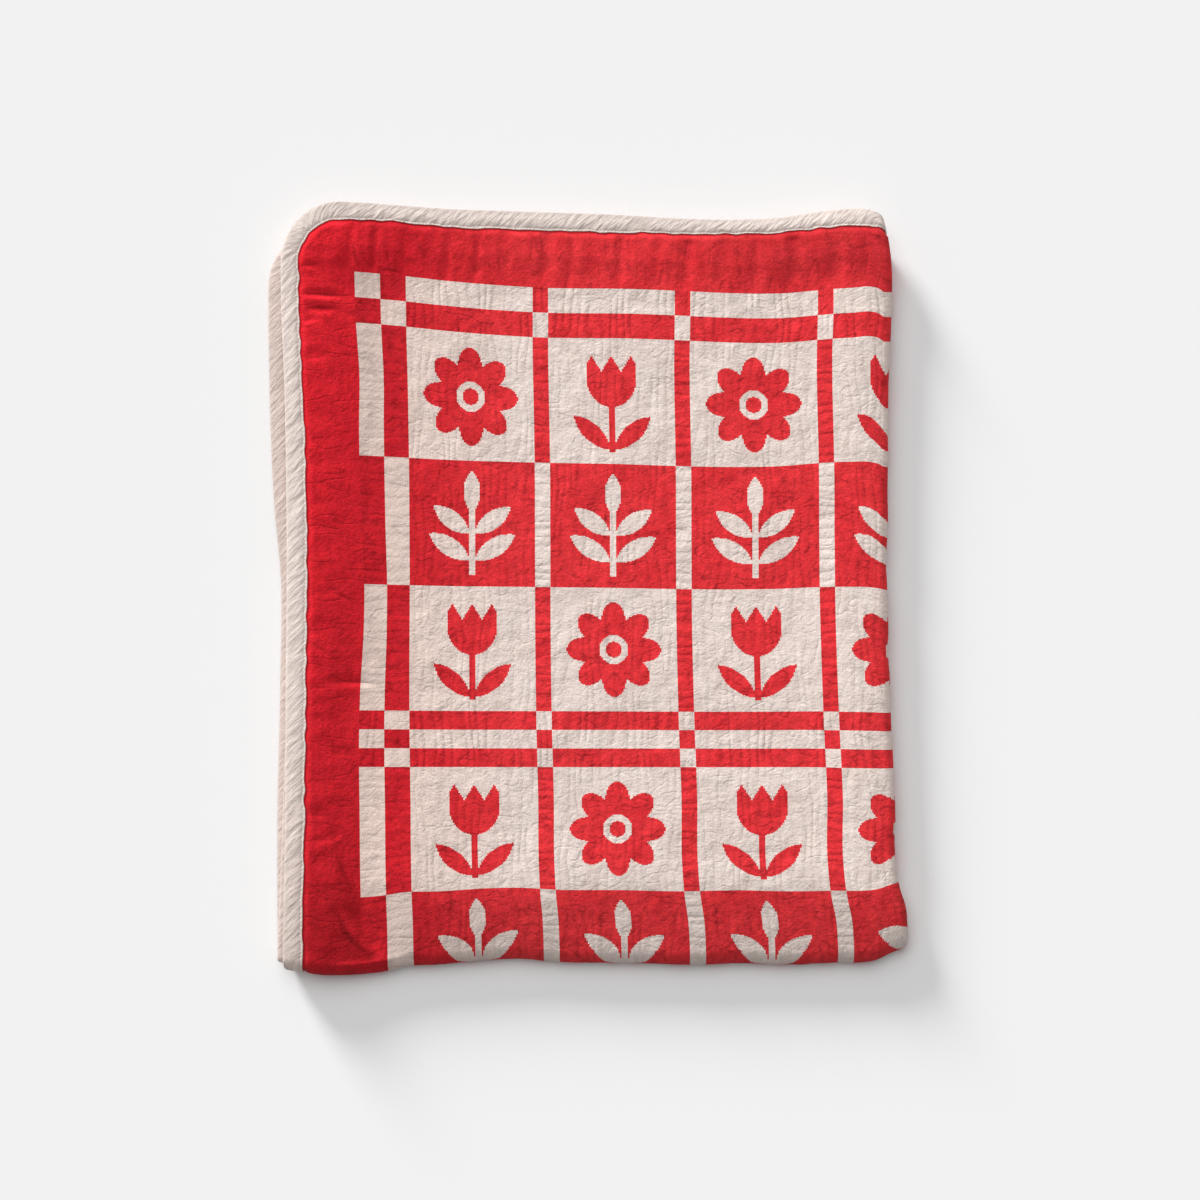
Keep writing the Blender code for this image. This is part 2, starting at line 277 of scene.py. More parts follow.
def read_off(table, column, value):
    """A smooth curve through a table: the column's heights at the places in its first column, joined
    by cubic pieces whose slopes are the mean of the chords'."""
    places = np.asarray(next(iter(table.values())))
    heights = np.asarray(table[column])
    slopes = np.gradient(heights, places)
    left = np.clip(np.searchsorted(places, value) - 1, 0, len(places) - 2)
    span = places[left + 1] - places[left]
    f = np.clip((value - places[left]) / span, 0, 1)
    start = (1 + 2 * f) * (1 - f) ** 2 * heights[left] + f * (1 - f) ** 2 * span * slopes[left]
    end = f**2 * (3 - 2 * f) * heights[left + 1] - f**2 * (1 - f) * span * slopes[left + 1]
    return start + end


def eased(value):
    """0 below 0, 1 above 1, and a smooth step between."""
    value = np.clip(value, 0, 1)
    return value * value * (3 - 2 * value)


def near(distance, span):
    """1 across the binding, then falling as a parabola to 0 at span beyond it."""
    return np.clip(1 - (distance - BINDING_WIDTH) / span, 0, 1) ** 2


# Rows and columns of mottle's random heights, before they repeat
LATTICE = 64


def mottle(x, y, size_x, size_y, seed):
    """Smooth uneven hills between -1 and 1, about size_x by size_y: a lattice of random heights,
    joined by smooth steps."""
    heights = np.random.default_rng(seed).uniform(-1, 1, (LATTICE, LATTICE))
    x = x / size_x
    y = y / size_y
    column = np.floor(x).astype(int)
    row = np.floor(y).astype(int)
    fx = eased(x - column)
    fy = eased(y - row)

    def level(row):
        left = heights[row % LATTICE, column % LATTICE]
        right = heights[row % LATTICE, (column + 1) % LATTICE]
        return left * (1 - fx) + right * fx

    return level(row) * (1 - fy) + level(row + 1) * fy


def relief(x, y, inset):
    """The broad hollows of the top layer, which fade out before the binding."""
    drop = 0 * x
    for middle_x, middle_y, half_x, half_y, depth in zip(*HOLLOWS.values()):
        drop -= depth * np.exp(-(((x - middle_x) / half_x) ** 2) - ((y - middle_y) / half_y) ** 2)
    return drop * eased(inset / HOLLOW_MARGIN - 1)


def pile_share(x, y, from_right, from_bottom):
    """How high the pile stands at a place, against its height in the middle: more along the bound
    edges, and less by a parabola towards each fold."""
    left = 1 - eased((x - LEFT_RIM) / RIM_SPAN)
    top = 1 - eased((TOP_RIM - y) / RIM_SPAN)
    right = RIGHT_THIN * np.clip(1 - from_right / RIGHT_SPAN, 0, 1) ** 2
    bottom = BOTTOM_THIN * np.clip(1 - from_bottom / BOTTOM_SPAN, 0, 1) ** 2
    thin = (right**3 + bottom**3) ** (1 / 3)
    return 1 + LEFT_RISE * left + TOP_RISE * top - thin * (1 - RIM_HOLD * np.maximum(left, top))


def folded(across, along, off):
    """Carries a point of the flat quilt to its place in the folded stack.

    Lengthwise: a half circle of radius PAIR_PLUMP joins two layers. Crosswise: the pair then goes
    half round a circle whose radius is the pair's own half spacing plus half the gap between pairs.
    The tables then draw the stack's outline, pile_share raises or thins the whole pile, and the
    hollows sink the top layer.
    """
    outer = across < 0
    reach = np.abs(across)
    turn = np.clip(across / PAIR_PLUMP, -math.pi / 2, math.pi / 2)
    beyond = np.clip(reach - LOOP, 0, None)

    plump_across = 1 - eased(beyond / PLUMP_SPAN)
    pair = PAIR_FLAT + (PAIR_PLUMP - PAIR_FLAT) * plump_across
    middle = np.where(beyond > 0, np.sign(-across) * pair, -PAIR_PLUMP * np.sin(turn))
    height = middle - off * np.sin(turn)

    from_fold = np.abs(along - CROSS_FOLD)
    plump_along = 1 - eased((from_fold - BEND_REACH) / PLUMP_SPAN)
    plump = plump_across + plump_along - plump_across * plump_along
    radius = pair + STACK_FLAT + (STACK_PLUMP - STACK_FLAT) * plump
    bend_radius = pair + STACK_PLUMP
    angle = np.clip((along - CROSS_FOLD) / bend_radius + math.pi / 2, 0, math.pi)
    straight = np.clip(from_fold - bend_radius * math.pi / 2, 0, None)

    fold_line = TOP_EDGE - BINDING_REACH - CROSS_FOLD + BEND
    y = fold_line + straight - (bend_radius + height) * np.sin(angle)

    creep = INNER_CREEP * eased(across / CREEP_ACROSS) * np.clip(1 - along / CREEP_ALONG, 0, 1)
    y = y - creep

    fold_x = read_off(RIGHT_FOLD, "x", y) - PAIR_PLUMP - CLOTH / 2
    outer_edge = read_off(LEFT_EDGE, "outer", along)
    inner_edge = read_off(LEFT_EDGE, "inner", along)
    edge_x = np.where(outer, outer_edge, inner_edge) + BINDING_REACH + BINDING_WALL / 2
    middle_x = fold_x + (edge_x - fold_x) * beyond / (HALF - LOOP) + PAIR_PLUMP * np.cos(turn)
    x = middle_x + off * np.cos(turn)
    share = pile_share(x, y, fold_x + PAIR_PLUMP + CLOTH / 2 - x, y - fold_line + BOTTOM_REACH)

    wave = read_off(TOP_WAVE, "rise", middle_x)
    fall = read_off(BOTTOM_WAVE, "fall", middle_x)
    wave_share = 1 - eased((TOP_EDGE - y) / WAVE_FADE)
    fall_share = 1 - eased((y - fold_line) / FALL_FADE)
    y = y + wave * wave_share - fall * fall_share

    upper = along < CROSS_FOLD
    from_end = np.where(upper, along - HIDDEN_END, LENGTH - along)
    lift = np.maximum(near(HALF - reach, EDGE_LIFT_SPAN), near(from_end, EDGE_LIFT_SPAN))
    droop = np.clip(1 - along / TOP_DROOP_SPAN, 0, 1) ** 2 * upper
    z = radius + pair + (radius + middle) * np.cos(angle) + EDGE_LIFT * lift - TOP_DROOP * droop
    z = z * share + CLOTH / 2 + (height - middle) * np.cos(angle)
    inset = np.minimum(HALF - reach, along)
    z = z + relief(x, y, inset) * (outer & upper & (angle == 0))
    return np.stack([x - MIDDLE_X, y - MIDDLE_Y, z], axis=-1)


def inset_from_rim(across, along):
    """How far inside the quilt's rounded rim a point is: the distance to a rounded rectangle."""
    side = np.abs(across) - (HALF - CORNER_RADIUS)
    end = np.abs(along - LENGTH / 2) - (LENGTH / 2 - CORNER_RADIUS)
    outside = np.hypot(np.clip(side, 0, None), np.clip(end, 0, None))
    return CORNER_RADIUS - outside - np.minimum(np.maximum(side, end), 0)


def shown_share(across, along):
    """How much of the binding's width shows at a place: the two tables, joined round the corner, and
    a little unevenness."""
    top = read_off(TOP_SHOWN, "share", np.clip(across, -HALF, 0.1))
    side = read_off(SIDE_SHOWN, "share", np.clip(along, 0, 1))
    turn = eased(0.5 + (along - (HALF - np.abs(across))) / CORNER_SPAN)
    share = np.where(across < 0, top * (1 - turn) + side * turn, 1.0)
    share = share + UNEVENNESS * mottle(across - along, across + along, 0.011, 0.5, 41)
    return np.where(along > EVEN_BINDING, 1.0, share)


def beyond_binding(across, along):
    """How far past the binding's inner edge a place is, towards the middle of the cloth."""
    return inset_from_rim(across, along) - BINDING_WIDTH * shown_share(across, along)


def flat_place(x, y):
    """Flat coordinates of a place on the top layer, found by stepping towards it."""
    across, along = -0.3, 0.4
    for _ in range(12):
        there = folded(np.array([across]), np.array([along]), CLOTH / 2)[0]
        across += (x - there[0]) * HALF / 0.62
        along -= y - there[1]
    return across, along


def woven(across, along):
    """Where a place of the flat quilt falls in the evenly counted design."""
    sideways = read_off(DRIFT_DOWN, "sideways", along) * read_off(DRIFT_ACROSS, "share", across)
    even = read_off(DRIFT_DOWN, "even", along) * (across < 0)
    at_bars = 1 - eased((across - SIDE_DRIFT_END) / SIDE_DRIFT_SPAN)
    by_bars = read_off(SIDE_DRIFT, "sideways", along) * at_bars
    rise = read_off(DRIFT_ACROSS, "rise", across) * (1 - eased((along - RISE_END) / RISE_SPAN))
    return np.stack([across - sideways - even - by_bars, along + rise], axis=-1)


def creased(x, y):
    """The top layer's creases: each is a trough with a soft ridge along its lower side, whose
    depth swells and fades as a half sine between the crease's two ends."""
    rise = 0 * x
    for x0, y0, x1, y1, half_width, depth, bow in zip(*CREASES.values()):
        run = math.hypot(x1 - x0, y1 - y0)
        ux, uy = (x1 - x0) / run, (y1 - y0) / run
        f = np.clip(((x - x0) * ux + (y - y0) * uy) / run, 0, 1)
        swell = np.sin(math.pi * f)
        beside = (y - y0) * ux - (x - x0) * uy - bow * swell
        past = beside + RIDGE_OFFSET * half_width
        rise -= depth * swell * np.exp(-((beside / half_width) ** 2))
        rise += RIDGE_SHARE * depth * swell * np.exp(-((past / (RIDGE_WIDTH * half_width)) ** 2))
    return rise


def furrowed(across, along):
    """The top border's soft furrows: troughs that run in from the binding and fade out."""
    fade = eased((along - FURROW_START) / 0.005) * (1 - eased((along - FURROW_END) / 0.030))
    rise = 0 * across
    for place, half_width, depth in zip(*FURROWS.values()):
        beside = across + FOLD_X - place + FURROW_LEAN * (along - FURROW_START)
        rise -= FURROW_GAIN * depth * np.exp(-((beside / (FURROW_SLIM * half_width)) ** 2))
    return rise * fade


def face_relief(across, along):
    """How far the cloth's face stands out beyond its plain thickness: thin inside the binding,
    puffed beyond it, gathered where it meets the binding, and puckered all over by its quilting."""
    clear = beyond_binding(across, along)
    rise = PUFF * (1 + 0.25 * mottle(across, along, 0.045, 0.045, 5))
    close = 0.27 + 0.10 * mottle(across, along, 0.055, 0.055, 6)
    puff = rise * eased(clear / PUFF_SPAN + close) - INSIDE_BINDING * (1 - eased(clear / 0.002))
    puff -= PUFF_LOSS * PUFF * eased((clear - 0.012) / 0.050)

    from_side = HALF - np.abs(across)
    from_end = LENGTH / 2 - np.abs(along - LENGTH / 2)
    by_side = eased(clear / 0.004) * (1 - eased((from_side - GATHER_REACH) / GATHER_SPAN))
    by_end = eased(clear / 0.004) * (1 - eased((from_end - GATHER_REACH) / GATHER_SPAN))
    gathers = SIDE_GATHERS * mottle(along, across, 0.0080, 0.030, 3) * by_side
    gathers += TOP_GATHERS * mottle(across, along, 0.0078, 0.045, 4) * by_end

    inner = eased((clear - 0.012) / 0.020)
    patterned = eased((np.minimum(from_side, from_end) - BORDER_END) / 0.010)
    puckers = mottle(across, along, 0.0120, 0.0170, 7) + 0.7 * mottle(across, along, 0.0170, 0.0110, 8)
    swells = mottle(across, along, 0.060, 0.045, 9)
    strength = inner * (BORDER_PUCKERS + (1 - BORDER_PUCKERS) * patterned)
    return puff + gathers + strength * PUCKER_DEPTH * puckers + SWELL_DEPTH * inner * swells


def cloth_face_off(across, along):
    """The face's height over the cloth's middle. The top layer has its creases and furrows; the
    bottom layer is pressed flat by the surface that it rests on; inner faces are calmer."""
    detail = face_relief(across, along)
    outer = across < 0
    place = folded(across, along, CLOTH / 2)
    top = outer & (along < CROSS_FOLD - BEND)
    marks = CREASE_GAIN * creased(place[..., 0], place[..., 1]) + furrowed(across, along)
    marks = np.maximum(marks, -MARK_LIMIT) * eased(beyond_binding(across, along) / 0.004)
    detail = detail + marks * top
    under = eased((along - CROSS_FOLD) / BEND) * outer
    detail = detail * (1 - under) + np.minimum(detail, 0) * 0.5 * under
    detail = np.where(outer | (along < CROSS_FOLD), detail, INNER_CALM * detail)
    return CLOTH / 2 + detail


def stations(limits, counts):
    """Evenly spaced places within each pair of limits, counts of them, with the first limit before."""
    places = [limits[0]]
    for start, end, count in zip(limits, limits[1:], counts):
        places += list(np.linspace(start, end, count + 1)[1:])
    return places


def trimmed(across, along):
    """Draws the outer columns in where a row crosses a rounded corner."""
    depth = np.minimum(along, LENGTH - along)
    short = np.clip(CORNER_RADIUS - depth, 0, None)
    limit = HALF - CORNER_RADIUS + np.sqrt(CORNER_RADIUS**2 - short**2)
    start = HALF - 2 * CORNER_RADIUS
    reach = np.abs(across)
    drawn = start + (reach - start) * (limit - start) / (HALF - start)
    return np.sign(across) * np.where(reach > start, drawn, reach)


def add_mesh(name, points, faces, uv):
    """A mesh object from arrays, smooth, with each corner's UV taken from its point."""
    mesh = bpy.data.meshes.new(name)
    mesh.from_pydata(points.reshape(-1, 3).tolist(), [], faces)
    corner = np.empty(len(mesh.loops), np.int32)
    mesh.loops.foreach_get("vertex_index", corner)
    layer = mesh.uv_layers.new(name="Flat")
    layer.uv.foreach_set("vector", uv.reshape(-1, 2)[corner].astype(np.float32).ravel())
    mesh.shade_smooth()
    mesh.update()
    piece = bpy.data.objects.new(name, mesh)
    bpy.context.scene.collection.objects.link(piece)
    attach(piece, "root")
    return piece


def quads_of(index):
    """The quads between neighbouring rows and columns of a grid of point numbers."""
    corners = [index[:-1, :-1], index[:-1, 1:], index[1:, 1:], index[1:, :-1]]
    return np.stack(corners, axis=-1).reshape(-1, 4)


def rim_of(index):
    """The grid's outline in order, without its first point again."""
    return np.concatenate([index[0, :-1], index[:-1, -1], index[-1, :0:-1], index[:0:-1, 0]])


# Grid cells of the cloth: border, rest of the outer half, lengthwise loop and inner half; then
# top border, rest of the upper part, bend and lower part
ACROSS_CELLS = (66, 174, 15, 42)
ALONG_CELLS = (54, 171, 21, 48)
BORDER_ACROSS = -0.500
BORDER_ALONG = 0.130
BACK_STRIDE = 3


def make_cloth():
    """The quilted cloth: a fine grid for its face and a coarse one for its back, joined at the rim.

    The face's point in a column and row is folded(across, along, cloth_face_off), and the back's is
    folded(across, along, -CLOTH / 2), on every third column and row.
    """
    columns = stations((-HALF, BORDER_ACROSS, -LOOP, LOOP, HALF), ACROSS_CELLS)
    rows = stations((0.0, BORDER_ALONG, CROSS_FOLD - BEND, CROSS_FOLD + BEND, LENGTH), ALONG_CELLS)
    across, along = np.meshgrid(columns, rows)
    across = trimmed(across, along)
    face = folded(across, along, cloth_face_off(across, along))
    back_across = across[::BACK_STRIDE, ::BACK_STRIDE]
    back_along = along[::BACK_STRIDE, ::BACK_STRIDE]
    back = folded(back_across, back_along, -CLOTH / 2)

    face_index = np.arange(across.size).reshape(across.shape)
    back_index = np.arange(back_across.size).reshape(back_across.shape) + face_index.size
    outline = rim_of(face_index)
    back_outline = rim_of(back_index)
    outline = np.append(outline, outline[0])
    starts = np.arange(len(back_outline)) * BACK_STRIDE
    between = [outline[starts + k] for k in range(BACK_STRIDE + 1)]
    rim = np.stack(between + [np.roll(back_outline, -1), back_outline], axis=-1)
    faces = quads_of(face_index)[:, ::-1].tolist() + quads_of(back_index).tolist() + rim.tolist()
    points = np.concatenate([face.reshape(-1, 3), back.reshape(-1, 3)])
    face_uv = woven(across, along).reshape(-1, 2)
    back_uv = woven(back_across, back_along).reshape(-1, 2)
    uv = np.concatenate([face_uv, back_uv])
    piece = add_mesh("woven_quilt_cloth", points, faces, uv)
    side = piece.data.attributes.new("back_side", "FLOAT", "POINT")
    side.data.foreach_set("value", np.repeat([0.0, 1.0], [face_index.size, back_index.size]))
    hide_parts("quilt_cloth")
    return piece


# The way round the rim, starting at the lengthwise fold on the top edge
SIDE_RUN = LENGTH - 2 * CORNER_RADIUS
END_RUN = HALF - CORNER_RADIUS
ARC_RUN = CORNER_RADIUS * math.pi / 2
RIM_RUN = 2 * SIDE_RUN + 4 * END_RUN + 4 * ARC_RUN


def rim_place(run, depth):
    """Flat coordinates of a place on the rim, run metres round it and depth metres inside it.

    The rim is a rounded rectangle: half the top edge, the outer half's side, the hidden end, the
    inner half's side and the other half of the top edge, with quarter circles between. A straight
    goes ahead from its start along its heading; a quarter circle turns about its own middle.
    """
    near_side = HALF - CORNER_RADIUS
    near_end = LENGTH - CORNER_RADIUS
    lengths = (END_RUN, ARC_RUN, SIDE_RUN, ARC_RUN, 2 * END_RUN, ARC_RUN, SIDE_RUN, ARC_RUN, END_RUN)
    headings = np.array([0, 0, 90, 90, 180, 180, 270, 270, 360])
    starts_across = np.array([0, -near_side, -HALF, -near_side, -near_side,
                              near_side, HALF, near_side, near_side])
    starts_along = np.array([0, CORNER_RADIUS, CORNER_RADIUS, near_end, LENGTH,
                             near_end, near_end, CORNER_RADIUS, 0])

    run = np.mod(run, RIM_RUN)
    ends = np.cumsum([0, *lengths])
    part = np.clip(np.searchsorted(ends, run, side="right") - 1, 0, len(lengths) - 1)
    into = run - ends[part]
    arc = part % 2 == 1
    way = np.radians(headings[part]) + np.where(arc, into / CORNER_RADIUS, 0)
    ahead = np.where(arc, 0, into)
    inside = depth - CORNER_RADIUS * arc
    across = starts_across[part] - np.cos(way) * ahead + np.sin(way) * inside
    along = starts_along[part] + np.sin(way) * ahead + np.cos(way) * inside
    return across, along


def rim_stations():
    """Places round the rim: close where the binding shows or bends, wide apart where it is hidden."""
    corner = END_RUN + ARC_RUN
    outer_bend = corner + CROSS_FOLD - CORNER_RADIUS
    far_fold = corner + SIDE_RUN + ARC_RUN + END_RUN
    inner_bend = RIM_RUN - outer_bend
    spans = (
        (0, LOOP, 0.0011),
        (LOOP, outer_bend - BEND, 0.0014),
        (outer_bend - BEND, outer_bend + BEND, 0.0013),
        (outer_bend + BEND, far_fold - LOOP, 0.0060),
        (far_fold - LOOP, far_fold + LOOP, 0.0011),
        (far_fold + LOOP, inner_bend - BEND, 0.0036),
        (inner_bend - BEND, inner_bend + BEND, 0.0013),
        (inner_bend + BEND, RIM_RUN - LOOP, 0.0040),
        (RIM_RUN - LOOP, RIM_RUN, 0.0011),
    )
    places = []
    for start, end, pitch in spans:
        count = max(2, round((end - start) / pitch))
        places += list(np.linspace(start, end, count, endpoint=False))
    return np.array(places)


# The binding's section: depth inside the rim and height over the cloth's middle, in millimetres
BINDING_OUTSIDE = {
    "depth": (17.6, 18.1, 18.0, 17.4, 16.7, 16.1, 15.4, 13.8, 11.2, 8.4, 5.4, 2.5, 0.2, -1.5, -2.3),
    "off": (1.75, 2.05, 2.40, 2.60, 2.40, 2.10, 2.40, 2.80,
            3.00, 3.05, 2.95, 2.80, 2.45, 1.65, 0.60),
}
BINDING_INSIDE = {
    "depth": (-1.1, -0.4, 6.0, 14.0),
    "off": (0.30, 1.65, 1.85, 1.75),
}
WRINKLE_DEPTH = 0.00040
FULLNESS_DEPTH = 0.00020
WRINKLE_LEAN = 0.9

# A stitch: its rings from end to end, as shares of its half length and of its half width
STITCH_RINGS = {"place": (-1, -0.72, 0.0, 0.72, 1), "fat": (0.25, 0.85, 1.0, 0.85, 0.25)}
STITCH_SIDES = 6
STITCH_DEPTH = 0.0161
STITCH_PITCH = 0.0039
STITCH_LENGTH = 0.0027
STITCH_HALF_WIDTH = 0.00042
STITCH_FLATNESS = 0.7
STITCH_OFF = 0.0023
STITCH_SAG = 0.0003
STITCH_STRAY_ALONG = 0.0002
STITCH_STRAY_ASIDE = 0.00015


def binding_bias(run, depth):
    """Extra height of the binding's outside: wrinkles that lean across the strip, one way along the
    top and the other way down the side, and a slower fullness. They stand straight at the corner,
    and are less at the strip's two edges."""
    lean = run - WRINKLE_LEAN * (1 - 2 * eased((run - END_RUN) / ARC_RUN)) * depth
    wrinkles = mottle(lean, run + depth, 0.0034, 0.0090, 21)
    wrinkles += 0.6 * mottle(lean, depth, 0.0056, 0.0080, 22)
    fullness = mottle(run, depth, 0.0220, 0.0120, 23)
    flatten = eased((0.0150 - np.abs(depth - 0.003)) / 0.006)
    flatten = flatten * (0.35 + 0.65 * eased((depth - 0.0005) / 0.0050))
    return (WRINKLE_DEPTH * wrinkles + FULLNESS_DEPTH * fullness) * flatten


def make_binding():
    """The binding: a C-shaped section carried round the rim, its outside wrinkled on the bias."""
    outer_depth, outer_off = (np.array(BINDING_OUTSIDE[name]) for name in ("depth", "off"))
    inner_depth, inner_off = (np.array(BINDING_INSIDE[name]) for name in ("depth", "off"))
    section_depth = [outer_depth, outer_depth[::-1], inner_depth[::-1], inner_depth]
    section_depth = np.concatenate(section_depth) / 1000
    section_off = np.concatenate([outer_off, -outer_off[::-1], -inner_off[::-1], inner_off]) / 1000
    outside = np.arange(len(section_depth)) < 2 * len(outer_depth)
    run, depth = np.broadcast_arrays(rim_stations()[:, None], section_depth)
    off = section_off + np.sign(section_off) * (binding_bias(run, depth) * outside)
    share = shown_share(*rim_place(run, depth))
    across, along = rim_place(run, np.where(depth > 0, depth * share, depth))
    points = folded(across, along, off)
    index = np.pad(np.arange(run.size).reshape(run.shape), ((0, 1), (0, 1)), mode="wrap")
    step_depth = np.diff(section_depth, prepend=section_depth[0])
    step_off = np.diff(section_off, prepend=section_off[0])
    strip = np.cumsum(np.hypot(step_depth, step_off))
    uv = np.stack(np.broadcast_arrays(run, strip), -1)
    piece = add_mesh("cream_edge_binding", points, quads_of(index).tolist(), uv)
    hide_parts("edge_binding")
    return piece


def make_stitching():
    """The stitches: short rounded threads on both faces of the binding, one after another.

    A stitch is a row of six-sided rings along the run. Its axes are stitch, face, ring and side.
    """
    count = round(RIM_RUN / STITCH_PITCH)
    middle = ((np.arange(count) + 0.5) * RIM_RUN / count)[:, None, None, None]
    stray_along, stray_aside = np.random.default_rng(31).uniform(-1, 1, (2, count, 1, 1, 1))
    face = np.array([1, -1])[:, None, None]
    place = np.array(STITCH_RINGS["place"])[:, None]
    fat = np.array(STITCH_RINGS["fat"])[:, None] * STITCH_HALF_WIDTH
    turn = np.linspace(0, 2 * math.pi, STITCH_SIDES, endpoint=False)
    run = middle + stray_along * STITCH_STRAY_ALONG + place * STITCH_LENGTH / 2
    depth = STITCH_DEPTH + stray_aside * STITCH_STRAY_ASIDE + fat * np.cos(turn)
    off = face * (STITCH_OFF - STITCH_SAG * place**2) + STITCH_FLATNESS * fat * np.sin(turn)
    run, depth, off = np.broadcast_arrays(run, depth, off)
    points = folded(*rim_place(run, depth * shown_share(*rim_place(run, depth))), off)
    index = np.arange(run.size).reshape(-1, *run.shape[2:])
    looped = np.concatenate([index, index[:, :, :1]], axis=2)
    corners = [looped[:, :-1, :-1], looped[:, :-1, 1:], looped[:, 1:, 1:], looped[:, 1:, :-1]]
    sides = np.stack(corners, axis=-1).reshape(-1, 4)
    faces = sides.tolist() + index[:, 0, ::-1].tolist() + index[:, -1, :].tolist()
    return add_mesh("binding_stitches", points, faces, np.stack([run, depth], -1))


class Reading:
    """A number that varies over the surface. Arithmetic on it adds Math nodes to its tree."""

    def __init__(self, tree, socket):
        self.tree = tree
        self.socket = socket

    def apply(self, operation, *others):
        node = self.tree.nodes.new("ShaderNodeMath")
        node.operation = operation
        for slot, term in zip(node.inputs, (self, *others)):
            if isinstance(term, Reading):
                self.tree.links.new(term.socket, slot)
            else:
                slot.default_value = term
        return Reading(self.tree, node.outputs[0])

    def __add__(self, other):
        return self.apply("ADD", other)

    def __sub__(self, other):
        return self.apply("SUBTRACT", other)

    def __mul__(self, other):
        return self.apply("MULTIPLY", other)

    def __truediv__(self, other):
        return self.apply("DIVIDE", other)

    def size(self):
        return self.apply("ABSOLUTE")

    def whole(self):
        return self.apply("FLOOR")

    def below(self, other):
        return self.apply("LESS_THAN", other)

    def above(self, other):
        return self.apply("GREATER_THAN", other)

    def or_(self, other):
        return self.apply("MAXIMUM", other)

    def and_(self, other):
        return self.apply("MULTIPLY", other)

    def lacks(self):
        return self * -1.0 + 1.0

    def flipped_by(self, other):
        """1 where exactly one of two 0-or-1 readings is 1."""
        return (self - other).size()


def new_group(name, inputs, outputs):
    """A shader node group with named inputs and outputs, and its two end nodes."""
    group = bpy.data.node_groups.new(name, "ShaderNodeTree")
    for label, kind, value in inputs:
        socket = group.interface.new_socket(label, in_out="INPUT", socket_type=kind)
        if value is not None:
            socket.default_value = value
    for label, kind in outputs:
        group.interface.new_socket(label, in_out="OUTPUT", socket_type=kind)
    return group, group.nodes.new("NodeGroupInput"), group.nodes.new("NodeGroupOutput")


def parts_of(tree, vector):
    """A vector socket's X and Y as readings."""
    split = tree.nodes.new("ShaderNodeSeparateXYZ")
    tree.links.new(vector, split.inputs[0])
    return Reading(tree, split.outputs[0]), Reading(tree, split.outputs[1])


def stretched(tree, vector, scale_x, scale_y, turn=0.0):
    """The vector scaled along axes that are turned from its own, for a pattern of uneven grain."""
    mapping = tree.nodes.new("ShaderNodeMapping")
    mapping.vector_type = "TEXTURE"
    tree.links.new(vector, mapping.inputs["Vector"])
    mapping.inputs["Rotation"].default_value = (0, 0, turn)
    mapping.inputs["Scale"].default_value = (1 / scale_x, 1 / scale_y, 1)
    return mapping.outputs[0]


def hills(tree, vector, per_x, per_y, turn=0.0, detail=1.0):
    """Soft noise between 0 and 1, with so many hills to a metre along two axes, which are turned from
    the vector's own."""
    noise = tree.nodes.new("ShaderNodeTexNoise")
    noise.noise_dimensions = "2D"
    noise.inputs["Scale"].default_value = 1.0
    noise.inputs["Detail"].default_value = detail
    noise.inputs["Roughness"].default_value = 0.5
    tree.links.new(stretched(tree, vector, per_x, per_y, turn), noise.inputs["Vector"])
    return Reading(tree, noise.outputs["Fac"])


def held(reading, low=0.0, high=1.0):
    """The reading, kept between two limits."""
    return reading.apply("MAXIMUM", low).apply("MINIMUM", high)


def ramp(reading, start, span):
    """0 before start, rising evenly to 1 over span. With a negative span it falls to 0 at start."""
    return held((reading - start) / span)


def wrinkled(tree, vector, per_x, per_y, width):
    """1 along the lines where soft noise crosses its middle, falling to 0 at width to either side."""
    noise = hills(tree, vector, per_x, per_y, detail=0.5)
    return held((noise - 0.5).size() * (-1.0 / width) + 1.0)


def summed(readings):
    """The readings added up."""
    total = readings[0]
    for reading in readings[1:]:
        total = total + reading
    return total


def put_out(tree, end, readings):
    """Links each reading to the group's output of its name."""
    for label, reading in readings.items():
        tree.links.new(reading.socket, end.inputs[label])


def placed(tree, group, links):
    """The group as a node, with the named inputs linked or set. Its outputs, as readings, by name."""
    node = tree.nodes.new("ShaderNodeGroup")
    node.node_tree = group
    for label, source in links.items():
        if isinstance(source, (int, float)):
            node.inputs[label].default_value = source
        else:
            socket = source.socket if isinstance(source, Reading) else source
            tree.links.new(socket, node.inputs[label])
    return {socket.name: Reading(tree, socket) for socket in node.outputs}


# The woven design, counted in cells of one weaving step
CELL = 0.0032
COLUMN_PITCH = 46
BLOCK_HALF = 20.5
INNER_BAR = 159.0
OUTER_BAR = 166.5
BAR_END = 174.5
ROW_PITCH = 40
GROUP_HALF = 60
BAND_STEP = 6
NEXT_GROUP = 78
ROWS_END = 198
FRAME_BAR = 8

# The motifs, in cells from their block's middle
PETALS = 8
PETAL_PLACE = 9.4
PETAL_HALF_LENGTH = 5.9
PETAL_HALF_WIDTH = 3.9
DAISY_DISC = 8.0
DAISY_HOLE = 4.7
DAISY_EYE = 2.6
CUP_HALF = 8.2
CUP_SHOULDER = 7.5
CUP_DEPTH = 9.5
CUP_TIP = 14.5
CUP_NOTCH = 5.2
CUP_POINTS_APART = 6.4
STEM_HALF = 1.1
STEM_FOOT = -16.5
TWIG_TOP = 8.0
LEAVES = {
    "motif": ("tulip", "sprig", "sprig", "sprig"),
    "root_x": (0.6, 0.8, 0.8, 0.0),
    "root_y": (-15.5, -11.5, -3.0, 3.5),
    "lean": (48, 58, 54, 0),
    "length": (16.0, 15.5, 14.5, 13.5),
    "width": (5.6, 5.8, 5.6, 5.4),
}


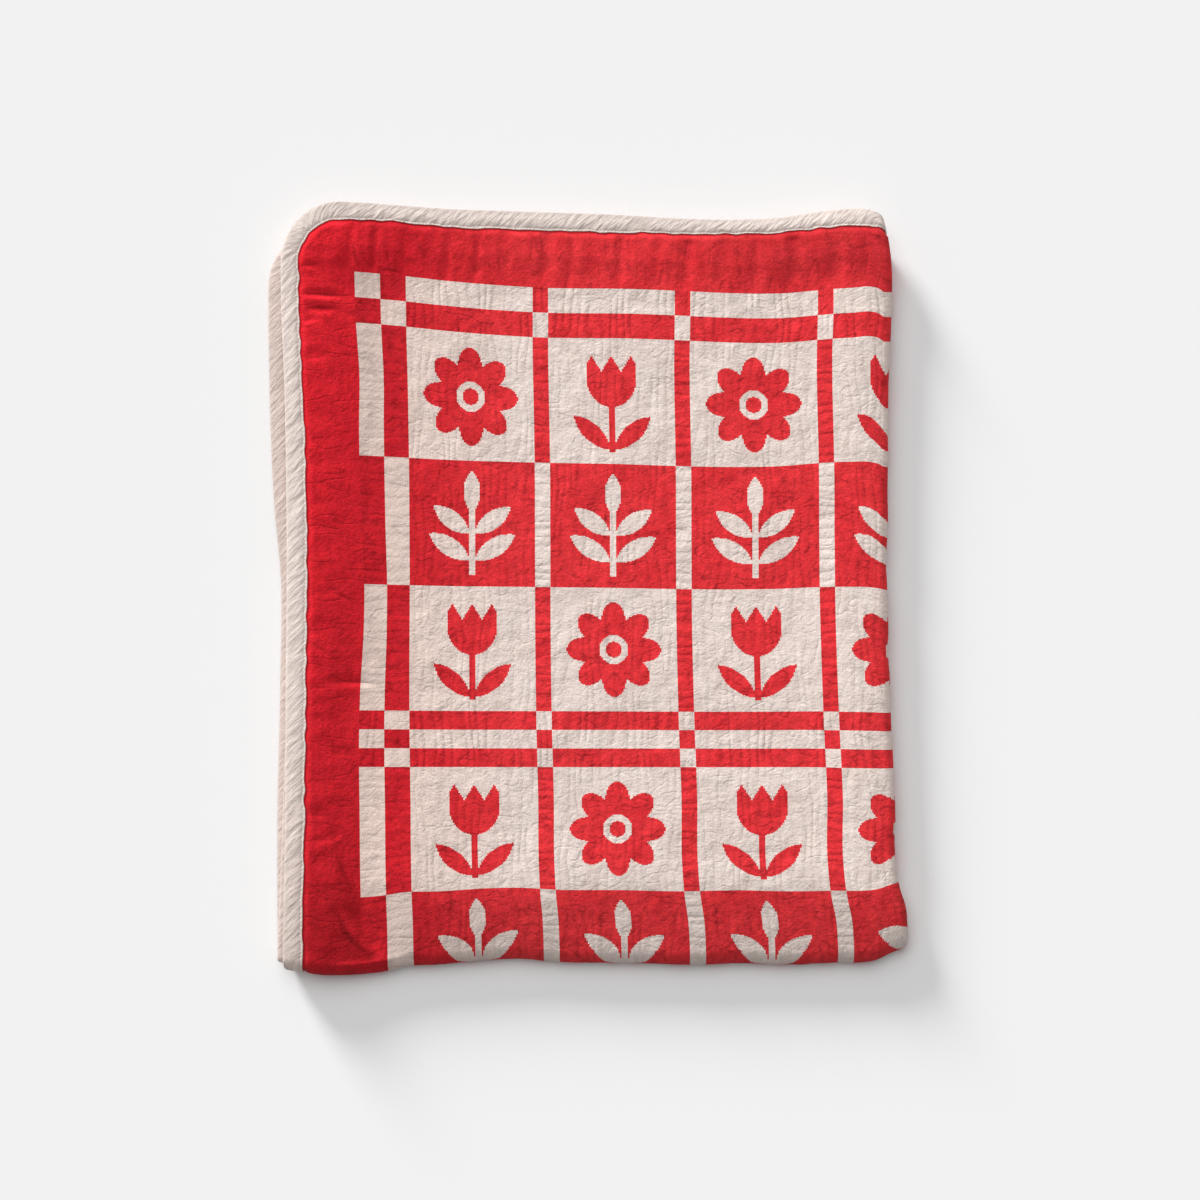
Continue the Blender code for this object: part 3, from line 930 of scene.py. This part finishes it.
def with_leaves(shape, motif, wide, y):
    """The shape and the motif's leaves. Each is the meeting of two equal circles, set on its root and
    leaning over."""
    for owner, root_x, root_y, lean, length, width in zip(*LEAVES.values()):
        if owner == motif:
            cosine, sine = math.cos(math.radians(lean)), math.sin(math.radians(lean))
            x_out, y_out = wide - root_x, y - root_y
            along_leaf = x_out * sine + y_out * cosine - length / 2
            beside = (x_out * cosine - y_out * sine).size()
            radius = (length**2 / 4 + width**2 / 4) / width
            offset = beside + (radius - width / 2)
            shape = shape.or_((along_leaf * along_leaf + offset * offset).below(radius**2))
    return shape


def stem(wide, y, top):
    """1 inside a stem, from its foot up to top."""
    return wide.below(STEM_HALF).and_(y.below(top)).and_(y.above(STEM_FOOT))


def daisy(x, y):
    """1 inside a daisy: a ring of oval petals round a disc, with a hole in it and an eye in that."""
    distance = (x * x + y * y).apply("SQRT")
    bearing = y.apply("ARCTAN2", x)
    petal = 2 * math.pi / PETALS
    within = bearing - (bearing / petal + 0.5).whole() * petal
    out = distance * within.apply("COSINE") - PETAL_PLACE
    aside = distance * within.apply("SINE")
    petals = ((out * out) / PETAL_HALF_LENGTH**2 + (aside * aside) / PETAL_HALF_WIDTH**2).below(1.0)
    ring = petals.or_(distance.below(DAISY_DISC)).and_(distance.above(DAISY_HOLE))
    return ring.or_(distance.below(DAISY_EYE))


def tulip(x, y):
    """1 inside a tulip: an oval bowl with straight shoulders and three points, a stem and leaves."""
    wide = x.size()
    points = x / CUP_POINTS_APART + 0.5
    wave = (points - points.whole() - 0.5).size() * 2.0
    bowl_y = (y - CUP_SHOULDER) / CUP_DEPTH
    bowl = (wide * wide / CUP_HALF**2 + bowl_y * bowl_y).below(1.0)
    bowl = bowl.or_(y.above(CUP_SHOULDER).and_(wide.below(CUP_HALF)))
    cup = bowl.and_(y.below(wave * -CUP_NOTCH + CUP_TIP))
    return with_leaves(cup.or_(stem(wide, y, 0.0)), "tulip", wide, y)


def design_group():
    """The woven design: where the red yarn is on the face, from flat coordinates in metres.

    Counted from the middle of the quilt in cells: block columns with narrow bars between them, a
    stepped double bar at each side, three groups of three block rows with triple bars between the
    groups, and a plain border. Each row of blocks has a ground, and everything in it that is a bar
    or a motif takes the other colour.
    """
    tree, start, end = new_group(
        "woven_design",
        [("Vector", "NodeSocketVector", None)],
        [(label, "NodeSocketFloat") for label in ("Red", "Bars", "Upright", "Border")],
    )
    across, along = parts_of(tree, start.outputs["Vector"])
    column_cell = ((across / CELL) * 2.0).whole() / 2.0 + 0.25
    row_cell = (((along - LENGTH / 2) / CELL) * 3.0).whole() / 3.0 + 1 / 6
    side = column_cell.size()
    level = row_cell.size()
    below_middle = row_cell.above(0.0) * 2.0 - 1.0

    column = ((side + COLUMN_PITCH / 2) / COLUMN_PITCH).whole()
    x = side - column * COLUMN_PITCH
    in_block_column = x.size().below(BLOCK_HALF).and_(side.below(INNER_BAR))
    narrow_bar = x.size().above(BLOCK_HALF).and_(side.below(INNER_BAR))
    inner_bar = side.above(INNER_BAR).and_(side.below(OUTER_BAR))
    turned = narrow_bar.or_(inner_bar)

    middle_group = level.below(GROUP_HALF)
    outer_group = level.above(NEXT_GROUP).and_(level.below(ROWS_END))
    middle_row = (level / ROW_PITCH + 0.5).whole()
    middle_y = level - middle_row * ROW_PITCH
    from_group = level - (NEXT_GROUP + ROW_PITCH / 2)
    outer_row = (from_group / ROW_PITCH + 0.5).whole()
    outer_y = from_group - outer_row * ROW_PITCH
    y = (middle_group * middle_y + outer_group * outer_y) * below_middle * -1.0
    outer_red = outer_group.and_((outer_row - 1.0).size().below(0.5))
    red_row = middle_group.and_(middle_row.below(0.5)).or_(outer_red)
    in_row = middle_group.or_(outer_group)

    band = level - GROUP_HALF
    in_bands = band.above(0.0).and_(level.below(NEXT_GROUP))
    band_red = in_bands.and_((band - 1.5 * BAND_STEP).size().above(BAND_STEP / 2))
    frame_red = level.above(ROWS_END).and_(level.below(ROWS_END + FRAME_BAR))
    ground = red_row.or_(band_red).or_(frame_red)

    odd_column = (column / 2.0 - (column / 2.0).whole()).above(0.25)
    late_row = middle_group.and_(row_cell.above(0.0)).or_(outer_group.and_(outer_row.above(1.5)))
    takes_tulip = odd_column.flipped_by(late_row)
    flower = takes_tulip.and_(tulip(x, y)).or_(takes_tulip.lacks().and_(daisy(x, y)))
    sprig = with_leaves(stem(x.size(), y, TWIG_TOP), "sprig", x.size(), y)
    motif = red_row.and_(sprig).or_(red_row.lacks().and_(flower))
    motif = motif.and_(in_row).and_(in_block_column)

    border = side.above(BAR_END).or_(level.above(ROWS_END + 2 * FRAME_BAR))
    inside = border.lacks()
    patterned = ground.flipped_by(turned).flipped_by(motif)
    red = inside.and_(patterned).or_(border)
    bars = inside.and_(in_row.and_(in_block_column).lacks())
    upright = inside.and_(in_row).and_(turned.or_(side.above(OUTER_BAR)))
    put_out(tree, end, {"Red": red, "Bars": bars, "Upright": upright, "Border": border})
    return tree


def weave_group():
    """Yarn grain: short weft floats over fine warp, as a height and as a shade around 1.

    Two stretched noises, one for each yarn direction, and a speckle of single yarns.
    """
    tree, start, end = new_group(
        "yarn_grain",
        [("Vector", "NodeSocketVector", None), ("Yarns per metre", "NodeSocketFloat", 620.0)],
        [("Height", "NodeSocketFloat"), ("Shade", "NodeSocketFloat")],
    )
    scale = tree.nodes.new("ShaderNodeVectorMath")
    scale.operation = "SCALE"
    tree.links.new(start.outputs["Vector"], scale.inputs[0])
    tree.links.new(start.outputs["Yarns per metre"], scale.inputs["Scale"])
    weft = hills(tree, scale.outputs[0], 0.45, 1.0)
    warp = hills(tree, scale.outputs[0], 1.1, 0.35)
    speckle = hills(tree, scale.outputs[0], 1.3, 1.6, detail=0.0)
    height = weft * 0.55 + warp * 0.45
    shade = (weft - 0.5) * 0.30 + (warp - 0.5) * 0.16 + (speckle - 0.5) * 0.34 + 1.0
    put_out(tree, end, {"Height": height, "Shade": shade})
    return tree


# A fold line's lit lip: its place beside the trough, in half-widths, and how closely it falls off
LIP_OFFSET = 2.1
LIP_CLOSENESS = 0.6


def fold_line_group():
    """One sharp fold line: how deep in its trough a place is, and how near its lit lip, from 0 to 1.

    Across the line the trough is a bell curve; along it, a half sine. Bow bends it to the side.
    """
    tree, start, end = new_group(
        "fold_line",
        [("Vector", "NodeSocketVector", None)]
        + [(label, "NodeSocketFloat", 0.0)
           for label in ("From X", "From Y", "Way X", "Way Y", "Run", "Half width", "Bow", "Lit side")],
        [("Trough", "NodeSocketFloat"), ("Lip", "NodeSocketFloat")],
    )
    given = {socket.name: Reading(tree, socket) for socket in start.outputs if socket.name}
    across, along = parts_of(tree, start.outputs["Vector"])
    x = across - given["From X"]
    y = along - given["From Y"]
    swell = (held((x * given["Way X"] + y * given["Way Y"]) / given["Run"]) * math.pi).apply("SINE")
    beside = y * given["Way X"] - x * given["Way Y"] - given["Bow"] * swell
    beside = beside * given["Lit side"] / given["Half width"]
    trough = swell * (beside * beside * -1.0).apply("EXPONENT")
    past = beside - LIP_OFFSET
    lip = swell * (past * past * -LIP_CLOSENESS).apply("EXPONENT")
    put_out(tree, end, {"Trough": trough, "Lip": lip})
    return tree


def fold_lines(tree, vector, group):
    """All the sharp fold lines together, as a trough reading and a lip reading."""
    troughs, lips = [], []
    for x0, y0, x1, y1, half_width, bow, strength in zip(*FOLD_LINES.values()):
        ends = [flat_place(x0, y0), flat_place(x1, y1)]
        first, last = [woven(np.array([across]), np.array([along]))[0] for across, along in ends]
        run = math.hypot(*(last - first))
        way = (last - first) / run
        line = placed(tree, group, {
            "Vector": vector, "From X": float(first[0]), "From Y": float(first[1]),
            "Way X": float(way[0]), "Way Y": float(way[1]), "Run": run, "Half width": half_width,
            "Bow": bow, "Lit side": 1.0 if way[0] > way[1] else -1.0,
        })
        troughs.append(line["Trough"] * strength)
        lips.append(line["Lip"] * strength)
    return summed(troughs), summed(lips)


# Where the stepped double bars start, from the quilt's lengthwise middle, and how soon they are full
SIDE_BARS = 0.498
SIDE_BARS_STEP = 0.012

# Distances between the quilting's ribs: upright ones, and level ones on the upright bars
UPRIGHT_PITCH = 0.0098
LEVEL_PITCH = 0.0108
RIB_MIDDLE = 0.6


def rounded(place, pitch, wander):
    """Rounded ribs side by side, about 0 on average: a sine's size, shifted by wander radians."""
    return (place * (math.pi / pitch) + wander).apply("SINE").size() - RIB_MIDDLE


def pucker_group():
    """The quilting's puckers, from flat coordinates in metres: a height in millimetres, and for each
    yarn a painted shade that is about 1 on the crests and darker in the valleys and along the wrinkles.
    The red's also carries random blotches of tone.

    Upright ribs that wander and come and go, level ones on the upright bars, small pillows and soft
    crumples. Short soft wrinkles; close lines on the bias, most at the sides.
    """
    tree, start, end = new_group(
        "quilting_puckers",
        [("Vector", "NodeSocketVector", None)]
        + [(label, "NodeSocketFloat", 0.0) for label in ("Bars", "Upright", "Border")],
        [(label, "NodeSocketFloat") for label in ("Height", "Red painted shade and blotches", "Cream painted shade")],
    )
    flat = start.outputs["Vector"]
    border = Reading(tree, start.outputs["Border"])
    not_border = border.lacks()
    upright_bar = Reading(tree, start.outputs["Upright"])
    bars = Reading(tree, start.outputs["Bars"]).and_(not_border)
    level_bar = held(bars - upright_bar)
    in_blocks = bars.or_(border).lacks()
    across, along = parts_of(tree, flat)
    side = across.size()
    side_zone = ramp(side, SIDE_BARS, SIDE_BARS_STEP)
    side_bars = side_zone * not_border
    top_zone = border.and_(ramp(side, 0.548, 0.020).lacks())

    wander = hills(tree, flat, 34, 13) * 7.0
    presence = ramp(hills(tree, flat, 22, 30), 0.30, 0.25)
    rib = rounded(across, UPRIGHT_PITCH, wander) * presence
    rib_share = in_blocks * 0.36 + level_bar * 0.55 + border * 0.10
    drift = hills(tree, flat, 14, 40) * 6.0
    level_rib = rounded(along, LEVEL_PITCH, drift) * upright_bar * 0.40
    ribs = rib * rib_share + level_rib

    soft = hills(tree, flat, 85, 95, detail=2.0) - 0.5
    fine = hills(tree, flat, 300, 330) - 0.5
    here = ramp(hills(tree, flat, 52, 60), 0.48, 0.08)
    marks = wrinkled(tree, flat, 60, 95, 0.085) * here
    bias = hills(tree, flat, 50, 270, math.radians(-42)) - 0.5
    bias_share = side_bars * 0.28 + upright_bar * 0.14 + level_bar * 0.22 + border * 0.14

    level_here = ramp(hills(tree, flat, 26, 60), 0.47, 0.08)
    off_corner = ramp(along, 0.085, 0.02)
    level = wrinkled(tree, flat, 24, 100, 0.075) * level_here * side_zone * off_corner
    upright = wrinkled(tree, flat, 62, 16, 0.080) * level_here * top_zone
    border_wrinkles = level + upright

    height = ribs * 0.9 + soft * (not_border * 0.20 + 0.62) + fine * 0.26 + bias * bias_share
    height = height - marks * (not_border * 0.14 + 0.05) - border_wrinkles * 0.24
    height = height * (side_bars * -0.50 + 1.0)
    # Painted shade: the colour darkens in the ribs' and crumples' valleys and along the wrinkles, where
    # shade falls
    shared_painted_shade = ribs * 0.11 + soft * 0.14 - border_wrinkles * 0.16 + 1.0
    blotches = hills(tree, flat, 120, 95, detail=2.0) - 0.5
    red_painted_shade_and_blotches = shared_painted_shade + ribs * 0.26 + blotches * 0.38 + fine * 0.26
    red_painted_shade_and_blotches = red_painted_shade_and_blotches - marks * (not_border * 0.20 + 0.05)
    cream_painted_shade = shared_painted_shade + fine * 0.10 - marks * 0.045
    put_out(tree, end, {"Height": height, "Red painted shade and blotches": red_painted_shade_and_blotches, "Cream painted shade": cream_painted_shade})
    return tree


COTTON_SPECULAR = 0.06
COTTON_SHEEN_ROUGHNESS = 0.6


def fabric(name, roughness, sheen):
    """A new Principled material with a UV map node, its shader and its tree."""
    material = bpy.data.materials.new(name)
    material.use_nodes = True
    tree = material.node_tree
    shader = tree.nodes["Principled BSDF"]
    shader.inputs["Roughness"].default_value = roughness
    shader.inputs["Specular IOR Level"].default_value = COTTON_SPECULAR
    shader.inputs["Sheen Weight"].default_value = sheen
    shader.inputs["Sheen Roughness"].default_value = COTTON_SHEEN_ROUGHNESS
    flat = tree.nodes.new("ShaderNodeUVMap")
    flat.uv_map = "Flat"
    return material, tree, shader, flat.outputs[0]


def mixed(tree, share, first, second, blend="MIX"):
    """A colour between first and second. Each is a socket or three numbers."""
    mix = tree.nodes.new("ShaderNodeMix")
    mix.data_type = "RGBA"
    mix.blend_type = blend
    if isinstance(share, Reading):
        tree.links.new(share.socket, mix.inputs["Factor"])
    else:
        mix.inputs["Factor"].default_value = share
    for slot, colour in ((mix.inputs[6], first), (mix.inputs[7], second)):
        if isinstance(colour, tuple):
            slot.default_value = (*colour, 1)
        else:
            tree.links.new(colour, slot)
    return mix.outputs[2]


def shaded(tree, colour, shade):
    """The colour times a shade reading."""
    grey = tree.nodes.new("ShaderNodeCombineColor")
    for slot in grey.inputs[:3]:
        tree.links.new(shade.socket, slot)
    return mixed(tree, 1.0, colour, grey.outputs[0], "MULTIPLY")


def raised(tree, height, distance, strength, before=None):
    """A bump of height times distance, over an earlier normal."""
    bump = tree.nodes.new("ShaderNodeBump")
    bump.inputs["Strength"].default_value = strength
    bump.inputs["Distance"].default_value = distance
    tree.links.new(height.socket, bump.inputs["Height"])
    if before is not None:
        tree.links.new(before, bump.inputs["Normal"])
    return bump.outputs[0]


# Yarn colours: in the blocks, at the sides, and the binding's. The side colours are deeper and also
# # hold painted shade. The binding's pink, for the layers below, is painted shade with a painted red
# bounce
RED = (0.740, 0.036, 0.043)
RED_DEEP = (0.610, 0.020, 0.028)
SIDE_RED = (0.575, 0.013, 0.022)
SIDE_RED_DEEP = (0.490, 0.009, 0.017)
CREAM = (0.780, 0.665, 0.610)
CREAM_DULL = (0.690, 0.560, 0.505)
SIDE_CREAM = (0.715, 0.545, 0.480)
BINDING_CREAM = (0.740, 0.638, 0.586)
BINDING_SHADED_PINK = (0.650, 0.535, 0.485)
BINDING_DULL = (0.600, 0.497, 0.450)
THREAD = (0.78, 0.69, 0.64)
THREAD_SHADED = (0.66, 0.56, 0.51)
CLOTH_YARNS = 560.0
BINDING_YARNS = 640.0

# Painted light and shade over the folded stack, as a share added to 1: the colour is made lighter or
# # darker where the light falls more or less on the stack
SIDE_TONE = 0.28
SIDE_TONE_FALL = 0.47
SIDE_TONE_END = 0.70
TOP_TONE = 0.09
TOP_TONE_GAIN = 0.20
TOP_RIGHT_TONE = 0.10
BARS_TONE = 0.06
BARS_TONE_GAIN = 0.12
FOLD_TONE = 0.19


def painted_stack_light(across, along, on_border):
    """Painted light and shade over the stack, about 1: down the side border, over the top border,
    down the double bars, and painted shade where the cloth turns into the crosswise fold."""
    side = across.size()
    by_side = on_border * ramp(side, 0.553, 0.010)
    by_top = on_border - by_side
    by_right = ramp(side, 0.22, -0.05)
    by_bars = ramp(side, SIDE_BARS, SIDE_BARS_STEP) * on_border.lacks()
    by_fold = ramp(along, 0.675, 0.040) * ramp(along, 0.83, -0.05)
    side_tone = along.apply("MINIMUM", SIDE_TONE_END) * -SIDE_TONE_FALL + SIDE_TONE
    top_tone = ramp(along, 0.026, 0.030) * TOP_TONE_GAIN - TOP_TONE - by_right * TOP_RIGHT_TONE
    bars_tone = ramp(along, 0.50, 0.15) * BARS_TONE_GAIN - BARS_TONE
    return by_side * side_tone + by_top * top_tone + by_bars * bars_tone - by_fold * FOLD_TONE + 1.0


def cloth_material(design, grain, quilting):
    """Red and cream double cloth: the design's two yarns, grain, puckers and fold lines. Painted shade
    darkens the puckers' valleys and the fold lines' troughs, and a painted highlight lights their lips.
    At the sides the colours are deeper, partly as painted shade. On the back the yarns change places."""
    material, tree, shader, flat = fabric("woven_red_and_cream", 0.9, 0.04)
    pattern = placed(tree, design, {"Vector": flat})
    back = tree.nodes.new("ShaderNodeAttribute")
    back.attribute_name = "back_side"
    red = pattern["Red"].flipped_by(Reading(tree, back.outputs["Fac"]).above(0.5))
    yarn = placed(tree, grain, {"Vector": flat, "Yarns per metre": CLOTH_YARNS})
    zones = {name: pattern[name] for name in ("Bars", "Upright", "Border")}
    puckers = placed(tree, quilting, {"Vector": flat, **zones})
    folds, lips = fold_lines(tree, flat, fold_line_group())

    across, along = parts_of(tree, flat)
    # Towards the sides the colours are deeper and hold painted shade as well
    to_side = held((across.size() - 0.40) / 0.13 + pattern["Border"] * 0.2)
    mottling = held((hills(tree, flat, 45, 32, detail=3.0) - 0.35) * 1.6)
    middle_red = mixed(tree, mottling, RED, RED_DEEP)
    side_red = mixed(tree, mottling, SIDE_RED, SIDE_RED_DEEP)
    red_colour = mixed(tree, to_side, middle_red, side_red)
    middle_cream = mixed(tree, mottling, CREAM, CREAM_DULL)
    cream_colour = mixed(tree, to_side * 0.75, middle_cream, SIDE_CREAM)
    colour = mixed(tree, red, cream_colour, red_colour)
    # Painted shade in the puckers' valleys and wrinkles
    valleys = puckers["Cream painted shade"] + red * (puckers["Red painted shade and blotches"] - puckers["Cream painted shade"])
    shade = held((red * 0.4 + 0.6) * (yarn["Shade"] - 1.0) + valleys, 0.3, 1.4)
    # Painted shadow in the fold lines' troughs and a painted highlight on their lit lips
    shade = shade * held(folds * -0.52 + lips * 0.15 + 1.0, 0.35, 1.2)
    # Painted light and shade over the stack
    painted_light_and_shade = painted_stack_light(across, along, pattern["Border"])
    tree.links.new(shaded(tree, colour, shade * painted_light_and_shade), shader.inputs["Base Color"])

    normal = raised(tree, puckers["Height"], 0.001, 1.0)
    normal = raised(tree, yarn["Height"], 0.0003, 1.0, normal)
    tree.links.new(normal, shader.inputs["Normal"])
    tree.links.new((yarn["Shade"] * 0.12 + 0.78).socket, shader.inputs["Roughness"])
    return material


def binding_material(grain):
    """The binding's plain cream weave. Its crinkle leans one way along the top and the other way
    down the side, with painted shade in its valleys. It has random duller patches and is darker low
    down the side. Painted shade makes it pinker and darker on the layers below, darker along the top,
    and darker still where it turns over the rim."""
    material, tree, shader, flat = fabric("cream_binding_cotton", 0.9, 0.04)
    on_bias = stretched(tree, flat, 1, 1, math.radians(45))
    yarn = placed(tree, grain, {"Vector": on_bias, "Yarns per metre": BINDING_YARNS})
    run, strip = parts_of(tree, flat)
    corner = END_RUN + ARC_RUN
    lower = run.above(corner + CROSS_FOLD - CORNER_RADIUS).and_(run.below(RIM_RUN - 0.02))
    top = ramp(run, corner, -0.080)
    lean_top = hills(tree, flat, 60, 240, math.radians(-45), 1.5)
    lean_side = hills(tree, flat, 60, 240, math.radians(45), 1.5)
    crinkle = lean_side + (lean_top - lean_side) * top
    mottling = held((hills(tree, flat, 60, 60, detail=2.0) - 0.35) * 1.4)
    down = ramp(run, corner + 0.42, 0.25) * lower.lacks()
    dull = held(mottling * 0.6 + down * 0.6)
    # The layers below take painted shade, pinker with a painted red bounce
    colour = mixed(tree, dull, mixed(tree, lower, BINDING_CREAM, BINDING_SHADED_PINK), BINDING_DULL)
    # Painted shade: darker along the top, where the binding turns over the rim, and in the crinkle's
    # valleys
    turned_out = ramp(strip, 0.0155, 0.005)
    by_fold = ramp(run, 0.25, -0.2)
    painted_light_and_shade = top * (by_fold * 0.08 - 0.10) - turned_out * (top * 0.14 + 0.16) + 1.0
    shade = (yarn["Shade"] * 0.6 + 0.4) * (crinkle * 0.26 + 0.87) * painted_light_and_shade
    tree.links.new(shaded(tree, colour, shade), shader.inputs["Base Color"])
    normal = raised(tree, crinkle * (top * 0.25 + 0.75), 0.0011, 1.0)
    normal = raised(tree, yarn["Height"], 0.0003, 0.6, normal)
    tree.links.new(normal, shader.inputs["Normal"])
    tree.links.new((yarn["Shade"] * 0.10 + 0.80).socket, shader.inputs["Roughness"])
    return material


def thread_material():
    """Cream sewing thread, with a fine twist."""
    material, tree, shader, flat = fabric("cream_sewing_thread", 0.7, 0.1)
    twist = hills(tree, flat, 1400, 500, math.radians(35))
    colour = mixed(tree, twist, THREAD, THREAD_SHADED)
    tree.links.new(colour, shader.inputs["Base Color"])
    tree.links.new(raised(tree, twist, 0.0001, 0.5), shader.inputs["Normal"])
    return material


# The view from straight above: the photograph's middle, and the width that it takes in
VIEW_X = 0.0134
VIEW_Y = -0.0118
VIEW_WIDTH = 1.2348
VIEW_LENS = 70.0
VIEW_SENSOR = 36.0
VIEW_PLANE = 0.028


def make_camera():
    """A camera straight above, as far off as its lens needs to take in the view's width."""
    data = bpy.data.cameras.new("camera_above")
    data.lens = VIEW_LENS
    data.sensor_width = VIEW_SENSOR
    camera = bpy.data.objects.new("camera_above", data)
    camera.location = (VIEW_X, VIEW_Y, VIEW_PLANE + VIEW_WIDTH * VIEW_LENS / VIEW_SENSOR)
    bpy.context.scene.collection.objects.link(camera)
    bpy.context.scene.camera = camera


# The lights: bearing, height and spread in degrees, and the surround's strength
LIGHTS = {
    "name": ("low_light", "overhead_light"),
    "bearing": (122, 108),
    "height": (12.5, 54),
    "energy": (4.79, 1.53),
    "spread": (14, 54),
}
SURROUND = 0.262


def add_sun(name, bearing, height, energy, spread):
    """A light from far away: its bearing turns left from +X, and its height is over the floor."""
    data = bpy.data.lights.new(name, "SUN")
    data.energy = energy
    data.angle = math.radians(spread)
    light = bpy.data.objects.new(name, data)
    light.rotation_euler = (0, math.radians(90 - height), math.radians(bearing))
    bpy.context.scene.collection.objects.link(light)


def make_light():
    """A low soft light from the upper left, a broad one overhead, and a faint even surround."""
    for name, bearing, height, energy, spread in zip(*LIGHTS.values()):
        add_sun(name, bearing, height, energy, spread)
    world = bpy.data.worlds.new("pale_surround")
    world.use_nodes = True
    sky = world.node_tree.nodes["Background"]
    sky.inputs["Color"].default_value = (1, 1, 1, 1)
    sky.inputs["Strength"].default_value = SURROUND
    bpy.context.scene.world = world
    bpy.context.scene.view_settings.view_transform = "Standard"


# The pale floor lies a little under the quilt, so that the two don't fight for one plane
FLOOR_Z = -0.0002
FLOOR_HALF = 6.0
FLOOR_GREY = 0.90


def make_floor():
    """The pale floor: a wide plane just under the quilt, not part of it."""
    points = [(x * FLOOR_HALF, y * FLOOR_HALF, FLOOR_Z) for x, y in ((-1, -1), (1, -1), (1, 1), (-1, 1))]
    mesh = bpy.data.meshes.new("pale_floor")
    mesh.from_pydata(points, [], [[0, 1, 2, 3]])
    floor = bpy.data.objects.new("pale_floor", mesh)
    bpy.context.scene.collection.objects.link(floor)
    material = bpy.data.materials.new("pale_floor")
    material.use_nodes = True
    shader = material.node_tree.nodes["Principled BSDF"]
    shader.inputs["Base Color"].default_value = (FLOOR_GREY, FLOOR_GREY, FLOOR_GREY, 1)
    shader.inputs["Roughness"].default_value = 1.0
    shader.inputs["Specular IOR Level"].default_value = 0.0
    mesh.materials.append(material)


make_camera()
make_light()
make_floor()
grain = weave_group()
design = design_group()
cloth = make_cloth()
cloth.data.materials.append(cloth_material(design, grain, pucker_group()))
binding = make_binding()
binding.data.materials.append(binding_material(grain))
stitches = make_stitching()
stitches.data.materials.append(thread_material())
